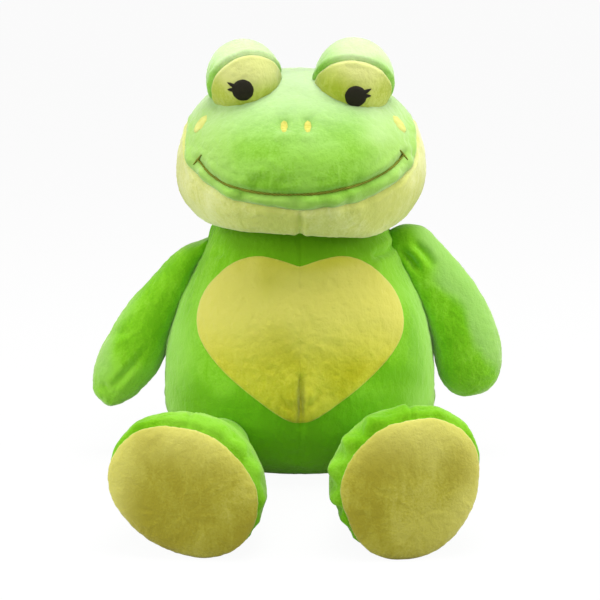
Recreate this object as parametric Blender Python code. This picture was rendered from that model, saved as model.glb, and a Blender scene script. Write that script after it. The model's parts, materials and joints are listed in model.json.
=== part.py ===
"""A plush frog that sits by itself: sewn fabric panels over loose stuffing.

Metres, +Z up.  The frog faces -Y and its own left is +X.  The origin is the
middle of the flat seat that rests on the floor.  Every soft form is a Skin:
egg-shaped rings along an axis, joined by smooth curves.  The fabric panels are
cut from the skins, and the stuffing is the same form, set in by the fabric.
"""

import math

import bmesh
import bpy
from mathutils import Matrix, Vector

# The power of an egg-shaped ring that is a plain ellipse; a higher one is squarer
ROUND = 2.0

# Cloth, seams and the room between pieces
FABRIC = 0.0020
SEAM_GAP = 0.0004
CLEARANCE = 0.0003
STUFFING_SLACK = 0.0006
THREAD_HEIGHT = 0.0008
THREAD_LIFT = 0.0004
APPLIQUE = 0.0012
APPLIQUE_LIFT = 0.0009
CUT_OVERRUN = 0.0200

# Torso: a pear on a flat seat
TORSO_HALF_WIDTH = 0.0945
BELLY_DEPTH = 0.0840
BACK_DEPTH = 0.0835
SEAT_HALF_WIDTH = 0.0580
SEAT_FRONT = 0.0450
SEAT_BACK = 0.0520
TORSO_SQUARENESS = 2.1
# Shares of the neck's height, the half width, the belly's depth and the back's depth
PEAR_SHARES = (
    (0.040, 0.790, 0.730, 0.790),
    (0.125, 0.930, 0.885, 0.930),
    (0.255, 0.995, 0.975, 1.000),
    (0.400, 0.995, 1.000, 0.995),
    (0.570, 0.935, 0.965, 0.935),
    (0.745, 0.832, 0.875, 0.845),
    (0.900, 0.720, 0.775, 0.755),
)

# Neck: the head turns and nods on a ball of stuffing under it
NECK_HEIGHT = 0.1500
NECK_RADIUS = 0.0600
NECK_PAD = 0.0100
NECK_SEAM_ANGLE = 69.5
NECK_PAD_ANGLE = 52.0
NECK_DOME_ANGLES = (82.0, NECK_SEAM_ANGLE, 46.0, 23.0)

# Head: a wide cushion with a chin that overhangs the chest
NECK_DISH = 0.0195
HEAD_HEIGHT = 0.1025
HEAD_HALF_WIDTH = 0.0835
MUZZLE_DEPTH = 0.0885
NAPE_DEPTH = 0.0650
NECK_OPENING_MARGIN = 0.0025
HEAD_SQUARENESS = 2.3
# Shares of the head's height, the half width, the muzzle's depth and the nape's depth
HEAD_SHARES = (
    (0.000, 0.765, 0.770, 0.925),
    (0.025, 0.830, 0.845, 0.955),
    (0.085, 0.900, 0.912, 0.975),
    (0.170, 0.962, 0.970, 0.990),
    (0.270, 0.994, 0.997, 1.000),
    (0.375, 1.000, 0.995, 1.000),
    (0.490, 0.988, 0.955, 0.985),
    (0.600, 0.946, 0.880, 0.940),
    (0.700, 0.880, 0.775, 0.870),
    (0.785, 0.790, 0.645, 0.775),
    (0.865, 0.670, 0.505, 0.655),
    (0.932, 0.503, 0.358, 0.495),
    (0.982, 0.287, 0.193, 0.280),
)
# The seam round the head, as angles from the nose and shares of the head's height
CROWN_SEAM_SHARES = (
    (0.0, 0.180),
    (27.0, 0.228),
    (47.0, 0.337),
    (58.0, 0.410),
    (64.0, 0.510),
    (76.0, 0.620),
    (101.25, 0.700),
    (135.0, 0.770),
    (180.0, 0.820),
)
JAW_SIDE_COLUMN = 9

# Eyes: two domes on top of the head, each a yellow front under a green lid
EYE_SPACING = 0.0740
EYE_CENTRE_Y = -0.0260
EYE_SINK = 0.0055
EYE_RADIUS = 0.0262
EYE_FRONT_ANGLE = 78.0
EYE_FRONT_DROP = 41.0
EYE_FRONT_INWARD = 13.0
PUPIL_RADIUS = 0.0075
PUPIL_DROP = 14.0
PUPIL_INWARD = 1.0
LASH_LENGTH = 0.0050
LASH_HALF_ANGLE = 22.0
LASH_RISE = 14.0

# Face embroidery, by its width across and height above the head's lower edge
SMILE_HALF_WIDTH = 0.0665
SMILE_HEIGHT = 0.0290
SMILE_RISE = 0.0180
SMILE_THREAD = 0.0024
SMILE_TICK_LENGTH = 0.0090
SMILE_TICK_THREAD = 0.0018
SMILE_TICK_SQUARING = 0.1
SMILE_RISE_SHARES = (0.0, 0.0, 0.03, 0.10, 0.22, 0.42, 0.68, 1.0)
NOSTRIL_SPACING = 0.0152
NOSTRIL_HEIGHT = 0.0705
NOSTRIL_HALF_WIDTH = 0.0030
NOSTRIL_HALF_HEIGHT = 0.0038
CHEEK_MARK_OUT = 0.0655
CHEEK_MARK_HEIGHT = 0.0685
CHEEK_MARK_HALF_LENGTH = 0.0068
CHEEK_MARK_HALF_WIDTH = 0.0020
CHEEK_MARK_TILT = 38.0

# Heart on the tummy
HEART_HALF_WIDTH = 0.0685
HEART_HEIGHT = 0.1070
HEART_TIP_HEIGHT = 0.0455
# Shares of the half width and of the height above the tip, up the left edge
HEART_SHARES = (
    (0.000, 0.000),
    (0.235, 0.075),
    (0.510, 0.185),
    (0.745, 0.310),
    (0.920, 0.440),
    (1.000, 0.590),
    (0.980, 0.700),
    (0.930, 0.800),
    (0.840, 0.885),
    (0.720, 0.940),
    (0.570, 0.980),
    (0.380, 1.000),
    (0.160, 0.985),
    (0.000, 0.945),
)

# Arms: they hang from a small ball at the shoulder seam
SHOULDER_STAND_OFF = 0.0090
SHOULDER_DROP = 0.0060
SHOULDER_BALL = 0.0162
ARM_SLOPE = 30.0
ARM_LENGTH = 0.1245
ARM_HALF_THICKNESS = 0.0190
ARM_OUTER = 0.0220
ARM_INNER = 0.0215
ARM_BOW = 0.0035
ARM_SQUARENESS = 2.2
# Shares of the length, the half thickness, the outer and the inner half width
ARM_SHARES = (
    (0.055, 0.770, 0.700, 0.620),
    (0.125, 0.790, 0.850, 0.420),
    (0.220, 0.850, 0.965, 0.475),
    (0.340, 0.920, 1.010, 0.565),
    (0.460, 0.970, 1.010, 0.700),
    (0.580, 1.000, 1.010, 0.880),
    (0.700, 1.000, 1.000, 1.020),
    (0.810, 0.940, 0.945, 0.980),
    (0.905, 0.740, 0.760, 0.780),
    (0.970, 0.430, 0.450, 0.460),
)

# Legs: they lie on the floor and end in a wide sole
HIP_OUT = 0.0530
HIP_STAND_OFF = 0.0140
HIP_HEIGHT = 0.0280
HIP_BALL = 0.0205
LEG_SPLAY = 7.0
LEG_LENGTH = 0.1220
FOOT_HALF_WIDTH = 0.0448
FOOT_TOP = 0.0515
SOLE_BULGE = 0.0100
SOLE_LEAN = 0.1500
LEG_SQUARENESS = 2.35
# Shares of the length, the foot's half width, its top and its bottom, and the sole's lean
LEG_SHARES = (
    (0.110, 0.480, 0.405, 0.830, 0.00),
    (0.260, 0.610, 0.525, 1.010, 0.00),
    (0.420, 0.750, 0.680, 1.050, 0.10),
    (0.580, 0.865, 0.810, 1.060, 0.30),
    (0.730, 0.955, 0.920, 1.070, 0.60),
    (0.860, 1.000, 0.985, 1.060, 0.85),
    (0.950, 0.985, 0.975, 1.030, 1.00),
    (1.000, 0.930, 0.920, 0.960, 1.00),
)
SOLE_SHARES = (0.86, 0.62, 0.33)

# Fineness of the meshes
BODY_COLUMNS = 32
LIMB_COLUMNS = 16
EYE_ROWS = 12
EYE_FRONT_BANDS = 3
EYE_LID_BANDS = 6
OVAL_RINGS = (1.0, 0.5, 0.0)
TANGENT_TURN = 1.0
TANGENT_STEP = 1 / 64
BALL_ANGLES = (0.0, 30.0, 60.0, 90.0)
JAW_ROWS = 5
CROWN_ROWS = 8
HEART_RINGS = 8
NECK_STEPS = 5
CUTTER_SEGMENTS = 24

# Colours as seen on screen
BRIGHT_GREEN = (124, 196, 30)
PALE_GREEN = (160, 222, 96)
JAW_YELLOW = (205, 214, 140)
HEART_YELLOW = (205, 206, 82)
EYE_YELLOW = (206, 218, 96)
SOLE_YELLOW = (186, 181, 88)
THREAD_BROWN = (122, 112, 22)
THREAD_YELLOW = (216, 206, 84)
THREAD_DARK = (46, 36, 26)
STUFFING_WHITE = (238, 238, 232)

SEAM_HALF = SEAM_GAP / 2
SET_IN = FABRIC + CLEARANCE + STUFFING_SLACK
NECK_CENTRE = Vector((0.0, 0.0, NECK_HEIGHT))
SHOULDER_HEIGHT = NECK_HEIGHT - SHOULDER_DROP
HEAD_BOTTOM = NECK_HEIGHT + NECK_DISH
EYE_CENTRE = Vector((EYE_SPACING / 2, EYE_CENTRE_Y, HEAD_BOTTOM + HEAD_HEIGHT - EYE_SINK))
SIDES = {"left": 1, "right": -1}


def clear_scene():
    for item in list(bpy.data.objects):
        bpy.data.objects.remove(item)


def smooth_at(rows, place):
    """The row at a place between two rows, on a smooth curve through them all."""
    last = len(rows) - 1
    start = min(int(place), last - 1)
    share = place - start
    before, here = rows[max(start - 1, 0)], rows[start]
    there, after = rows[start + 1], rows[min(start + 2, last)]
    found = []
    for a, b, c, d in zip(before, here, there, after):
        leave, arrive = (c - a) / 2, (d - b) / 2
        bend = 2 * b - 2 * c + leave + arrive
        ease = 3 * c - 3 * b - 2 * leave - arrive
        found.append(b + share * (leave + share * (ease + share * bend)))
    return found


class Skin:
    """A soft form.  A row: along, half width, front, back, lean, bow and squareness."""

    def __init__(self, rows, squareness, frame=None, floor=None):
        spare = (0.0, 0.0, squareness)
        self.rows = [tuple(row) + spare[len(row) - 4 :] for row in rows]
        self.frame = frame or Matrix.Identity(4)
        self.floor = floor
        self.last = len(rows) - 1

    def point(self, angle, place):
        along, width, front, back, lean, bow, power = smooth_at(self.rows, place)
        side, ahead = math.sin(angle), math.cos(angle)
        depth = front if ahead > 0 else back
        reach = 0.0
        if min(width, depth) > 0:
            reach = (abs(side) / width) ** power + (abs(ahead) / depth) ** power
            reach = reach ** (-1 / power)
        across = -ahead * reach
        found = self.frame @ Vector((side * reach, across - bow, along + lean * across))
        if self.floor is not None:
            found.z = max(found.z, self.floor)
        return found

    def tangents(self, angle, place):
        turn, step = math.radians(TANGENT_TURN), TANGENT_STEP
        low, high = max(place - step, 0), min(place + step, self.last)
        around = self.point(angle + turn, place) - self.point(angle - turn, place)
        along = self.point(angle, high) - self.point(angle, low)
        return around, along

    def normal(self, angle, place):
        around, along = self.tangents(angle, place)
        axis = self.frame.to_3x3() @ Vector((0, 0, 1))
        if around.length < SEAM_GAP / CUTTER_SEGMENTS:
            return axis if place > self.last / 2 else -axis
        return around.cross(along).normalized()

    def place_at(self, along):
        """Where the rows reach a height, from the lowest row up."""
        low, high = 0.0, float(self.last)
        for _ in range(40):
            middle = (low + high) / 2
            if smooth_at(self.rows, middle)[0] < along:
                low = middle
            else:
                high = middle
        return high

    def front_spot(self, across, height):
        """The angle and place on the front of an upright skin."""
        place = self.place_at(height)
        _, width, front, _, _, _, power = smooth_at(self.rows, place)
        share = min(abs(across) / width, 1.0) ** power
        ahead = front * (1 - share) ** (1 / power)
        return math.atan2(across, ahead), place


def degrees_between(first, last, count):
    return [math.radians(first + (last - first) * i / count) for i in range(count + 1)]


def evenly(first, last, count):
    return [first + (last - first) * i / count for i in range(count + 1)]


def grid_faces(columns, rows, closed, start=0, flip=False):
    faces = []
    for i in range(columns if closed else columns - 1):
        for j in range(rows - 1):
            a = start + i * rows + j
            b = start + (i + 1) % columns * rows + j
            face = (a, b, b + 1, a + 1)
            faces.append(face[::-1] if flip else face)
    return faces


def shell_mesh(outer, inner, columns, rows, closed):
    """Two grids of points, joined round their edges into one thin solid."""
    far = columns * rows
    faces = grid_faces(columns, rows, closed)
    faces += grid_faces(columns, rows, closed, far, flip=True)
    for i in range(columns if closed else columns - 1):
        a, b = i * rows, (i + 1) % columns * rows
        top_a, top_b = a + rows - 1, b + rows - 1
        faces.append((b, a, far + a, far + b))
        faces.append((top_a, top_b, far + top_b, far + top_a))
    if not closed:
        end = (columns - 1) * rows
        for j in range(rows - 1):
            faces.append((j, j + 1, far + j + 1, far + j))
            faces.append((end + j + 1, end + j, far + end + j, far + end + j + 1))
    return outer + inner, faces


def pushed_off(point, frame, planes):
    """The point, kept half a seam off each seam plane of the skin's own frame."""
    inside = frame.inverted() @ point
    for plane in planes:
        short = SEAM_HALF - inside.dot(plane)
        if short > 0:
            inside += plane * short
    return frame @ inside


def panel_mesh(skin, angles, places_at, closed=False, planes=(), trims=()):
    """A fabric panel: the skin between some angles and places, one fabric thick."""
    outer, inner = [], []
    for i, angle in enumerate(angles):
        places = places_at(angle)
        for j, place in enumerate(places):
            around, along = skin.tangents(angle, place)
            shift = Vector()
            if "low" in trims and j == 0:
                shift += along.normalized() * SEAM_HALF
            if "high" in trims and j == len(places) - 1:
                shift -= along.normalized() * SEAM_HALF
            if "first" in trims and i == 0:
                shift += around.normalized() * SEAM_HALF
            if "last" in trims and i == len(angles) - 1:
                shift -= around.normalized() * SEAM_HALF
            spot = skin.point(angle, place) + shift
            under = spot - skin.normal(angle, place) * FABRIC
            outer.append(pushed_off(spot, skin.frame, planes))
            inner.append(pushed_off(under, skin.frame, planes))
    return shell_mesh(outer, inner, len(angles), len(places_at(angles[0])), closed)


def core_mesh(skin, angles, places_at, set_in, lowest=0.0):
    """A closed solid that follows the skin, set in from it, with flat ends if open."""
    points = []
    for angle in angles:
        for place in places_at(angle):
            spot = skin.point(angle, place) - skin.normal(angle, place) * set_in
            spot.z = max(spot.z, lowest)
            points.append(spot)
    rows = len(places_at(angles[0]))
    faces = grid_faces(len(angles), rows, closed=True)
    for row, flip in ((0, True), (rows - 1, False)):
        loop = [i * rows + row for i in range(len(angles))]
        middle = sum((points[i] for i in loop), Vector()) / len(loop)
        points.append(middle)
        for a, b in zip(loop, loop[1:] + loop[:1]):
            face = (a, b, len(points) - 1)
            faces.append(face[::-1] if flip else face)
    return points, faces


def raised_mesh(spots, columns, rows, closed, lift, height):
    """Stitching or applique over pairs of a point and its normal."""
    outer = [point + normal * (lift + height) for point, normal in spots]
    inner = [point + normal * lift for point, normal in spots]
    return shell_mesh(outer, inner, columns, rows, closed)


def turned_mesh(profile, centre, segments):
    """A closed profile of (radius, height) turned about the vertical."""
    points = []
    for i in range(segments):
        turn = math.tau * i / segments
        for radius, height in profile:
            reach = Vector((radius * math.sin(turn), radius * math.cos(turn), height))
            points.append(centre + reach)
    rows = len(profile)
    faces = []
    for i in range(segments):
        for j in range(rows):
            a, b = i * rows, (i + 1) % segments * rows
            faces.append((a + j, a + (j + 1) % rows, b + (j + 1) % rows, b + j))
    return points, faces


def linear(colour):
    return [((c / 255 + 0.055) / 1.055) ** 2.4 if c > 10 else c / 3295 for c in colour]


def new_material(name, colour, roughness=0.95):
    material = bpy.data.materials.new(name)
    material.use_nodes = True
    shader = material.node_tree.nodes["Principled BSDF"]
    shader.inputs["Base Color"].default_value = (*linear(colour), 1.0)
    shader.inputs["Roughness"].default_value = roughness
    shader.inputs["Metallic"].default_value = 0.0
    material.diffuse_color = (*linear(colour), 1.0)
    return material


def add_solid(name, mesh_data, colour, pivot=None, side=1):
    """One named piece.  A moving piece hangs on the empty at its joint."""
    points, faces = mesh_data
    origin = pivot.location if pivot else Vector()
    mirror = Vector((side, 1, 1))
    mesh = bpy.data.meshes.new(name)
    mesh.from_pydata([point * mirror - origin for point in points], [], faces)
    work = bmesh.new()
    work.from_mesh(mesh)
    bmesh.ops.remove_doubles(work, verts=work.verts, dist=SEAM_GAP / CUTTER_SEGMENTS)
    bmesh.ops.recalc_face_normals(work, faces=work.faces)
    work.to_mesh(mesh)
    work.free()
    mesh.shade_smooth()
    mesh.set_sharp_from_angle(angle=math.radians(40))
    item = bpy.data.objects.new(name, mesh)
    bpy.context.scene.collection.objects.link(item)
    item.parent = pivot
    item.data.materials.append(new_material(name, colour))
    return item


def add_pivot(name, place):
    pivot = bpy.data.objects.new(name, None)
    pivot.location = place
    pivot.empty_display_size = CUT_OVERRUN
    bpy.context.scene.collection.objects.link(pivot)
    return pivot


def add_cutter(name, mesh_data, side=1):
    cutter = add_solid(name, mesh_data, STUFFING_WHITE, side=side)
    cutter.hide_render = True
    cutter.display_type = "WIRE"
    return cutter


def add_ball_cutter(name, centre, radius):
    """A ball whose flat facets all stay outside the radius."""
    reach = radius / math.cos(math.pi / CUTTER_SEGMENTS) ** 2
    work = bmesh.new()
    bmesh.ops.create_uvsphere(
        work, u_segments=CUTTER_SEGMENTS, v_segments=CUTTER_SEGMENTS // 2, radius=reach
    )
    mesh = bpy.data.meshes.new(name)
    work.to_mesh(mesh)
    work.free()
    cutter = bpy.data.objects.new(name, mesh)
    cutter.location = centre
    bpy.context.scene.collection.objects.link(cutter)
    cutter.hide_render = True
    cutter.display_type = "WIRE"
    return cutter


def cut(piece, cutter):
    modifier = piece.modifiers.new("cut by " + cutter.name, "BOOLEAN")
    modifier.operation = "DIFFERENCE"
    modifier.solver = "EXACT"
    modifier.object = cutter


def mirrored(place, side):
    return Vector((place.x * side, place.y, place.z))


def scaled(rows, *sizes):
    return [tuple(share * size for share, size in zip(row, sizes)) for row in rows]


def ball_rows(radius):
    """The rows from the root of a limb to the middle of its ball."""
    rows = []
    for angle in BALL_ANGLES:
        reach = radius * math.sin(math.radians(angle))
        along = -radius * math.cos(math.radians(angle))
        rows.append((along, reach, reach, reach, 0.0, 0.0, ROUND))
    return rows


def torso_skin():
    rows = [(0.0, SEAT_HALF_WIDTH, SEAT_FRONT, SEAT_BACK)]
    rows += scaled(PEAR_SHARES, NECK_HEIGHT, TORSO_HALF_WIDTH, BELLY_DEPTH, BACK_DEPTH)
    for angle in NECK_DOME_ANGLES:
        reach = NECK_RADIUS * math.sin(math.radians(angle))
        rise = NECK_RADIUS * math.cos(math.radians(angle))
        rows.append((NECK_HEIGHT + rise, reach, reach, reach, 0.0, 0.0, ROUND))
    rows.append((NECK_HEIGHT + NECK_RADIUS, 0.0, 0.0, 0.0, 0.0, 0.0, ROUND))
    return Skin(rows, TORSO_SQUARENESS)


def head_skin():
    rise = HEAD_BOTTOM - NECK_HEIGHT
    opening = math.sqrt(NECK_RADIUS**2 - rise**2) + NECK_OPENING_MARGIN
    rows = [(HEAD_BOTTOM + NECK_OPENING_MARGIN / 2, opening, opening, opening)]
    for along, width, front, back in scaled(
        HEAD_SHARES, HEAD_HEIGHT, HEAD_HALF_WIDTH, MUZZLE_DEPTH, NAPE_DEPTH
    ):
        rows.append((HEAD_BOTTOM + along, width, front, back))
    rows.append((HEAD_BOTTOM + HEAD_HEIGHT, 0.0, 0.0, 0.0))
    return Skin(rows, HEAD_SQUARENESS)


def shoulder_place(torso):
    side = torso.point(math.radians(90), torso.place_at(SHOULDER_HEIGHT))
    return Vector((side.x + SHOULDER_STAND_OFF, 0.0, SHOULDER_HEIGHT))


def hip_place(torso):
    front = torso.point(*torso.front_spot(HIP_OUT, HIP_HEIGHT))
    return Vector((HIP_OUT, front.y - HIP_STAND_OFF, HIP_HEIGHT))


def arm_skin(shoulder):
    slope = math.radians(ARM_SLOPE)
    down = Vector((math.sin(slope), 0, -math.cos(slope)))
    outward = Vector((math.cos(slope), 0, math.sin(slope)))
    rows = ball_rows(SHOULDER_BALL)
    for row in ARM_SHARES:
        along, thick, outer, inner = row
        bow = ARM_BOW * math.sin(math.pi * along)
        sizes = scaled([row], ARM_LENGTH, ARM_HALF_THICKNESS, ARM_OUTER, ARM_INNER)[0]
        rows.append((*sizes, 0.0, bow))
    rows.append((ARM_LENGTH, 0.0, 0.0, 0.0))
    return Skin(rows, ARM_SQUARENESS, limb_frame(shoulder, down, outward))


def limb_frame(root, along, front):
    """A frame with its Z along the limb and its -Y to the limb's front."""
    back = -front
    across = back.cross(along)
    turn = Matrix((across, back, along)).transposed()
    return Matrix.Translation(root) @ turn.to_4x4()


def leg_skin(hip):
    splay = math.radians(LEG_SPLAY)
    ahead = Vector((math.sin(splay), -math.cos(splay), 0))
    rows = ball_rows(HIP_BALL)
    for row in LEG_SHARES:
        sizes = (LEG_LENGTH, FOOT_HALF_WIDTH, FOOT_TOP, HIP_HEIGHT, SOLE_LEAN)
        rows.append(scaled([row], *sizes)[0])
    along, width, top, bottom, lean = rows[-1]
    for share in SOLE_SHARES:
        bulge = SOLE_BULGE * math.sqrt(1 - share**2)
        rows.append((along + bulge, width * share, top * share, bottom * share, lean))
    rows.append((along + SOLE_BULGE, 0.0, 0.0, 0.0, lean))
    frame = limb_frame(hip, ahead, Vector((0, 0, 1)))
    return Skin(rows, LEG_SQUARENESS, frame, floor=0.0)


def torso_pieces(skin, shoulder_cutters, hip_cutters):
    seam_row = len(PEAR_SHARES) + 2
    places = evenly(0, seam_row, seam_row)
    quarter = BODY_COLUMNS // 4
    for name, side in SIDES.items():
        for where, first, plane in (("front", 0, (0, -1, 0)), ("back", 90, (0, 1, 0))):
            angles = degrees_between(first, first + 90, quarter)
            planes = (Vector((1, 0, 0)), Vector(plane))
            data = panel_mesh(skin, angles, lambda angle: places, planes=planes)
            piece = add_solid(f"torso_{where}_{name}", data, BRIGHT_GREEN, side=side)
            cut(piece, shoulder_cutters[name])
            if where == "front":
                cut(piece, hip_cutters[name])
    add_solid("seat_panel", seat_mesh(skin), BRIGHT_GREEN)
    angles = degrees_between(0, 360, BODY_COLUMNS // 2)[:-1]
    places = evenly(0, skin.last, skin.last)
    data = core_mesh(skin, angles, lambda angle: places, SET_IN, SET_IN)
    stuffing = add_solid("torso_stuffing", data, STUFFING_WHITE)
    cut(stuffing, add_cutter("neck_pad_room", neck_ring(CLEARANCE, NECK_SEAM_ANGLE, CUT_OVERRUN)))
    for name in SIDES:
        cut(stuffing, shoulder_cutters[name])
        cut(stuffing, hip_cutters[name])


def seat_mesh(skin):
    """The flat oval that the frog sits on, inside the panels' lower edge."""
    angles = degrees_between(0, 360, BODY_COLUMNS)[:-1]
    inset = FABRIC + SEAM_GAP
    rim = []
    for angle in angles:
        point = skin.point(angle, 0)
        rim.append(point - point.normalized() * inset)
    top = [point + Vector((0, 0, FABRIC)) for point in rim]
    count = len(rim)
    faces = [tuple(reversed(range(count))), tuple(range(count, 2 * count))]
    for i in range(count):
        j = (i + 1) % count
        faces.append((i, j, count + j, count + i))
    return rim + top, faces


def neck_ring(room, angle, overrun=0.0):
    """The bowl of stuffing in the neck, or with room round it the space it moves in."""
    half_step = math.radians(angle / NECK_STEPS / 2)
    flat = math.cos(math.pi / CUTTER_SEGMENTS) * math.cos(half_step)
    outer = NECK_RADIUS + overrun
    inner = NECK_RADIUS - NECK_PAD - room if room else (NECK_RADIUS - NECK_PAD) / flat
    turns = degrees_between(0, angle, NECK_STEPS)
    profile = [(inner * math.sin(t), inner * math.cos(t)) for t in reversed(turns)]
    profile += [(outer * math.sin(t), outer * math.cos(t)) for t in turns]
    return turned_mesh(profile, NECK_CENTRE, CUTTER_SEGMENTS)


def heart_mesh(skin):
    """The heart: rings of its outline, drawn in towards its middle."""
    left = [(HEART_HALF_WIDTH * x, HEART_HEIGHT * z) for x, z in HEART_SHARES]
    outline = left + [(-x, z) for x, z in reversed(left[1:-1])]
    middle = (0.0, HEART_HEIGHT / 2)
    spots = []
    for x, z in outline:
        for ring in range(HEART_RINGS + 1):
            share = 1 - ring / HEART_RINGS
            across = middle[0] + (x - middle[0]) * share
            height = HEART_TIP_HEIGHT + middle[1] + (z - middle[1]) * share
            spot = skin.front_spot(across, height)
            spots.append((skin.point(*spot), skin.normal(*spot)))
    return raised_mesh(spots, len(outline), HEART_RINGS + 1, True, APPLIQUE_LIFT, APPLIQUE)


def oval_mesh(skin, across, height, half_width, half_height, tilt=0.0):
    """A small embroidered oval on the front of the head."""
    spots = []
    turn = math.radians(tilt)
    for angle in degrees_between(0, 360, LIMB_COLUMNS)[:-1]:
        for share in OVAL_RINGS:
            x = half_width * share * math.sin(angle)
            z = half_height * share * math.cos(angle)
            right = x * math.cos(turn) + z * math.sin(turn)
            up = z * math.cos(turn) - x * math.sin(turn)
            spot = skin.front_spot(across + right, HEAD_BOTTOM + height + up)
            spots.append((skin.point(*spot), skin.normal(*spot)))
    return raised_mesh(spots, LIMB_COLUMNS, len(OVAL_RINGS), True, THREAD_LIFT, THREAD_HEIGHT)


def smile_mesh(skin):
    """The stitched smile, with a short stroke across each end."""
    stops = len(SMILE_RISE_SHARES) - 1
    rises = [(SMILE_RISE * share,) for share in SMILE_RISE_SHARES]
    half, start = SMILE_HALF_WIDTH, HEAD_BOTTOM + SMILE_HEIGHT
    line = []
    for i in range(2 * stops + 1):
        share = i / (2 * stops)
        line.append((half * share, start + smooth_at(rises, share * stops)[0]))
    line = [(-x, z) for x, z in reversed(line[1:])] + line
    widths = [SMILE_THREAD / 2] * len(line)
    for end, step in ((0, 1), (-1, -1)):
        tip, before = Vector(line[end]), Vector(line[end + step])
        toward = (before - tip).normalized()
        line[end + step] = tuple(tip + toward * SMILE_TICK_THREAD)
        line.insert(end if end == 0 else len(line), line[end])
        widths.insert(end if end == 0 else len(widths), SMILE_TICK_LENGTH / 2)
    first, last = Vector(line[2]), Vector(line[-3])
    line[1] = tuple(first + (Vector(line[0]) - first) * SMILE_TICK_SQUARING)
    line[-2] = tuple(last + (Vector(line[-1]) - last) * SMILE_TICK_SQUARING)
    widths[1] = widths[-2] = SMILE_TICK_LENGTH / 2
    spots = []
    for i, (x, z) in enumerate(line):
        ahead = Vector(line[min(i + 1, len(line) - 1)]) - Vector(line[max(i - 1, 0)])
        across = Vector((-ahead.y, ahead.x)).normalized() * widths[i]
        for share in (-1, 1):
            spot = skin.front_spot(x + across.x * share, z + across.y * share)
            spots.append((skin.point(*spot), skin.normal(*spot)))
    return raised_mesh(spots, len(line), 2, False, THREAD_LIFT, THREAD_HEIGHT)


def head_pieces(skin, pivot, neck_cutter):
    def seam(angle):
        turn = abs(math.degrees(angle))
        turn = min(turn, 360 - turn)
        for (a, low), (b, high) in zip(CROWN_SEAM_SHARES, CROWN_SEAM_SHARES[1:]):
            if turn <= b:
                share = low + (high - low) * (turn - a) / (b - a)
                break
        return skin.place_at(HEAD_BOTTOM + HEAD_HEIGHT * share)

    def below(angle):
        return evenly(0, seam(angle), JAW_ROWS)

    def above(angle):
        return evenly(seam(angle), skin.last, CROWN_ROWS)

    step = 360 / BODY_COLUMNS
    corner = JAW_SIDE_COLUMN * step
    planes = (Vector((1, 0, 0)),)
    for name, side in SIDES.items():
        angles = degrees_between(0, corner, JAW_SIDE_COLUMN)
        data = panel_mesh(skin, angles, below, planes=planes, trims=("high", "last"))
        add_solid(f"jaw_{name}", data, JAW_YELLOW, pivot, side)
        angles = degrees_between(corner, 180, BODY_COLUMNS // 2 - JAW_SIDE_COLUMN)
        data = panel_mesh(skin, angles, below, planes=planes, trims=("high", "first"))
        add_solid(f"head_back_{name}", data, PALE_GREEN, pivot, side)
    angles = degrees_between(0, 360, BODY_COLUMNS)[:-1]
    data = panel_mesh(skin, angles, above, closed=True, trims=("low",))
    add_solid("head_top", data, PALE_GREEN, pivot)
    angles = degrees_between(0, 360, BODY_COLUMNS // 2)[:-1]
    lowest = skin.rows[0][0] + SET_IN + CLEARANCE
    data = core_mesh(skin, angles, lambda a: below(a)[:-1] + above(a), SET_IN, lowest)
    stuffing = add_solid("head_stuffing", data, STUFFING_WHITE, pivot)
    cut(stuffing, neck_cutter)
    angles = degrees_between(0, 360, BODY_COLUMNS)[:-1]
    return add_cutter("head_top_room", core_mesh(skin, angles, above, -CLEARANCE - SEAM_GAP))


def eye_frame():
    """The eye's own frame: its Z points out of the middle of the yellow front."""
    drop = math.radians(EYE_FRONT_DROP)
    inward = math.radians(EYE_FRONT_INWARD)
    level = math.cos(drop)
    ahead = Vector((-level * math.sin(inward), -level * math.cos(inward), -math.sin(drop)))
    up = (Vector((0, 0, 1)) - ahead * ahead.z).normalized()
    return limb_frame(EYE_CENTRE, ahead, up)


def eye_skin():
    rows = []
    for angle in evenly(180, 0, EYE_ROWS):
        reach = EYE_RADIUS * math.sin(math.radians(angle)) if 0 < angle < 180 else 0.0
        rows.append((EYE_RADIUS * math.cos(math.radians(angle)), reach, reach, reach))
    return Skin(rows, ROUND, eye_frame())


def pupil_mesh():
    """The stitched pupil, with a short lash on its outer side."""
    drop, inward = math.radians(PUPIL_DROP), math.radians(PUPIL_INWARD)
    level = math.cos(drop)
    ahead = Vector((-level * math.sin(inward), -level * math.cos(inward), -math.sin(drop)))
    right = Vector((0, 0, 1)).cross(-ahead).normalized()
    up = -ahead.cross(right)
    spots = []
    count = BODY_COLUMNS
    for i in range(count):
        turn = 360 * i / count
        off = min(abs(turn - LASH_RISE), 360 - abs(turn - LASH_RISE))
        reach = PUPIL_RADIUS + LASH_LENGTH * max(0.0, 1 - off / LASH_HALF_ANGLE)
        for share in OVAL_RINGS:
            x = -reach * share * math.cos(math.radians(turn))
            z = reach * share * math.sin(math.radians(turn))
            normal = (ahead * EYE_RADIUS + right * x + up * z).normalized()
            spots.append((EYE_CENTRE + normal * EYE_RADIUS, normal))
    return raised_mesh(spots, count, len(OVAL_RINGS), True, THREAD_LIFT, THREAD_HEIGHT)


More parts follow.
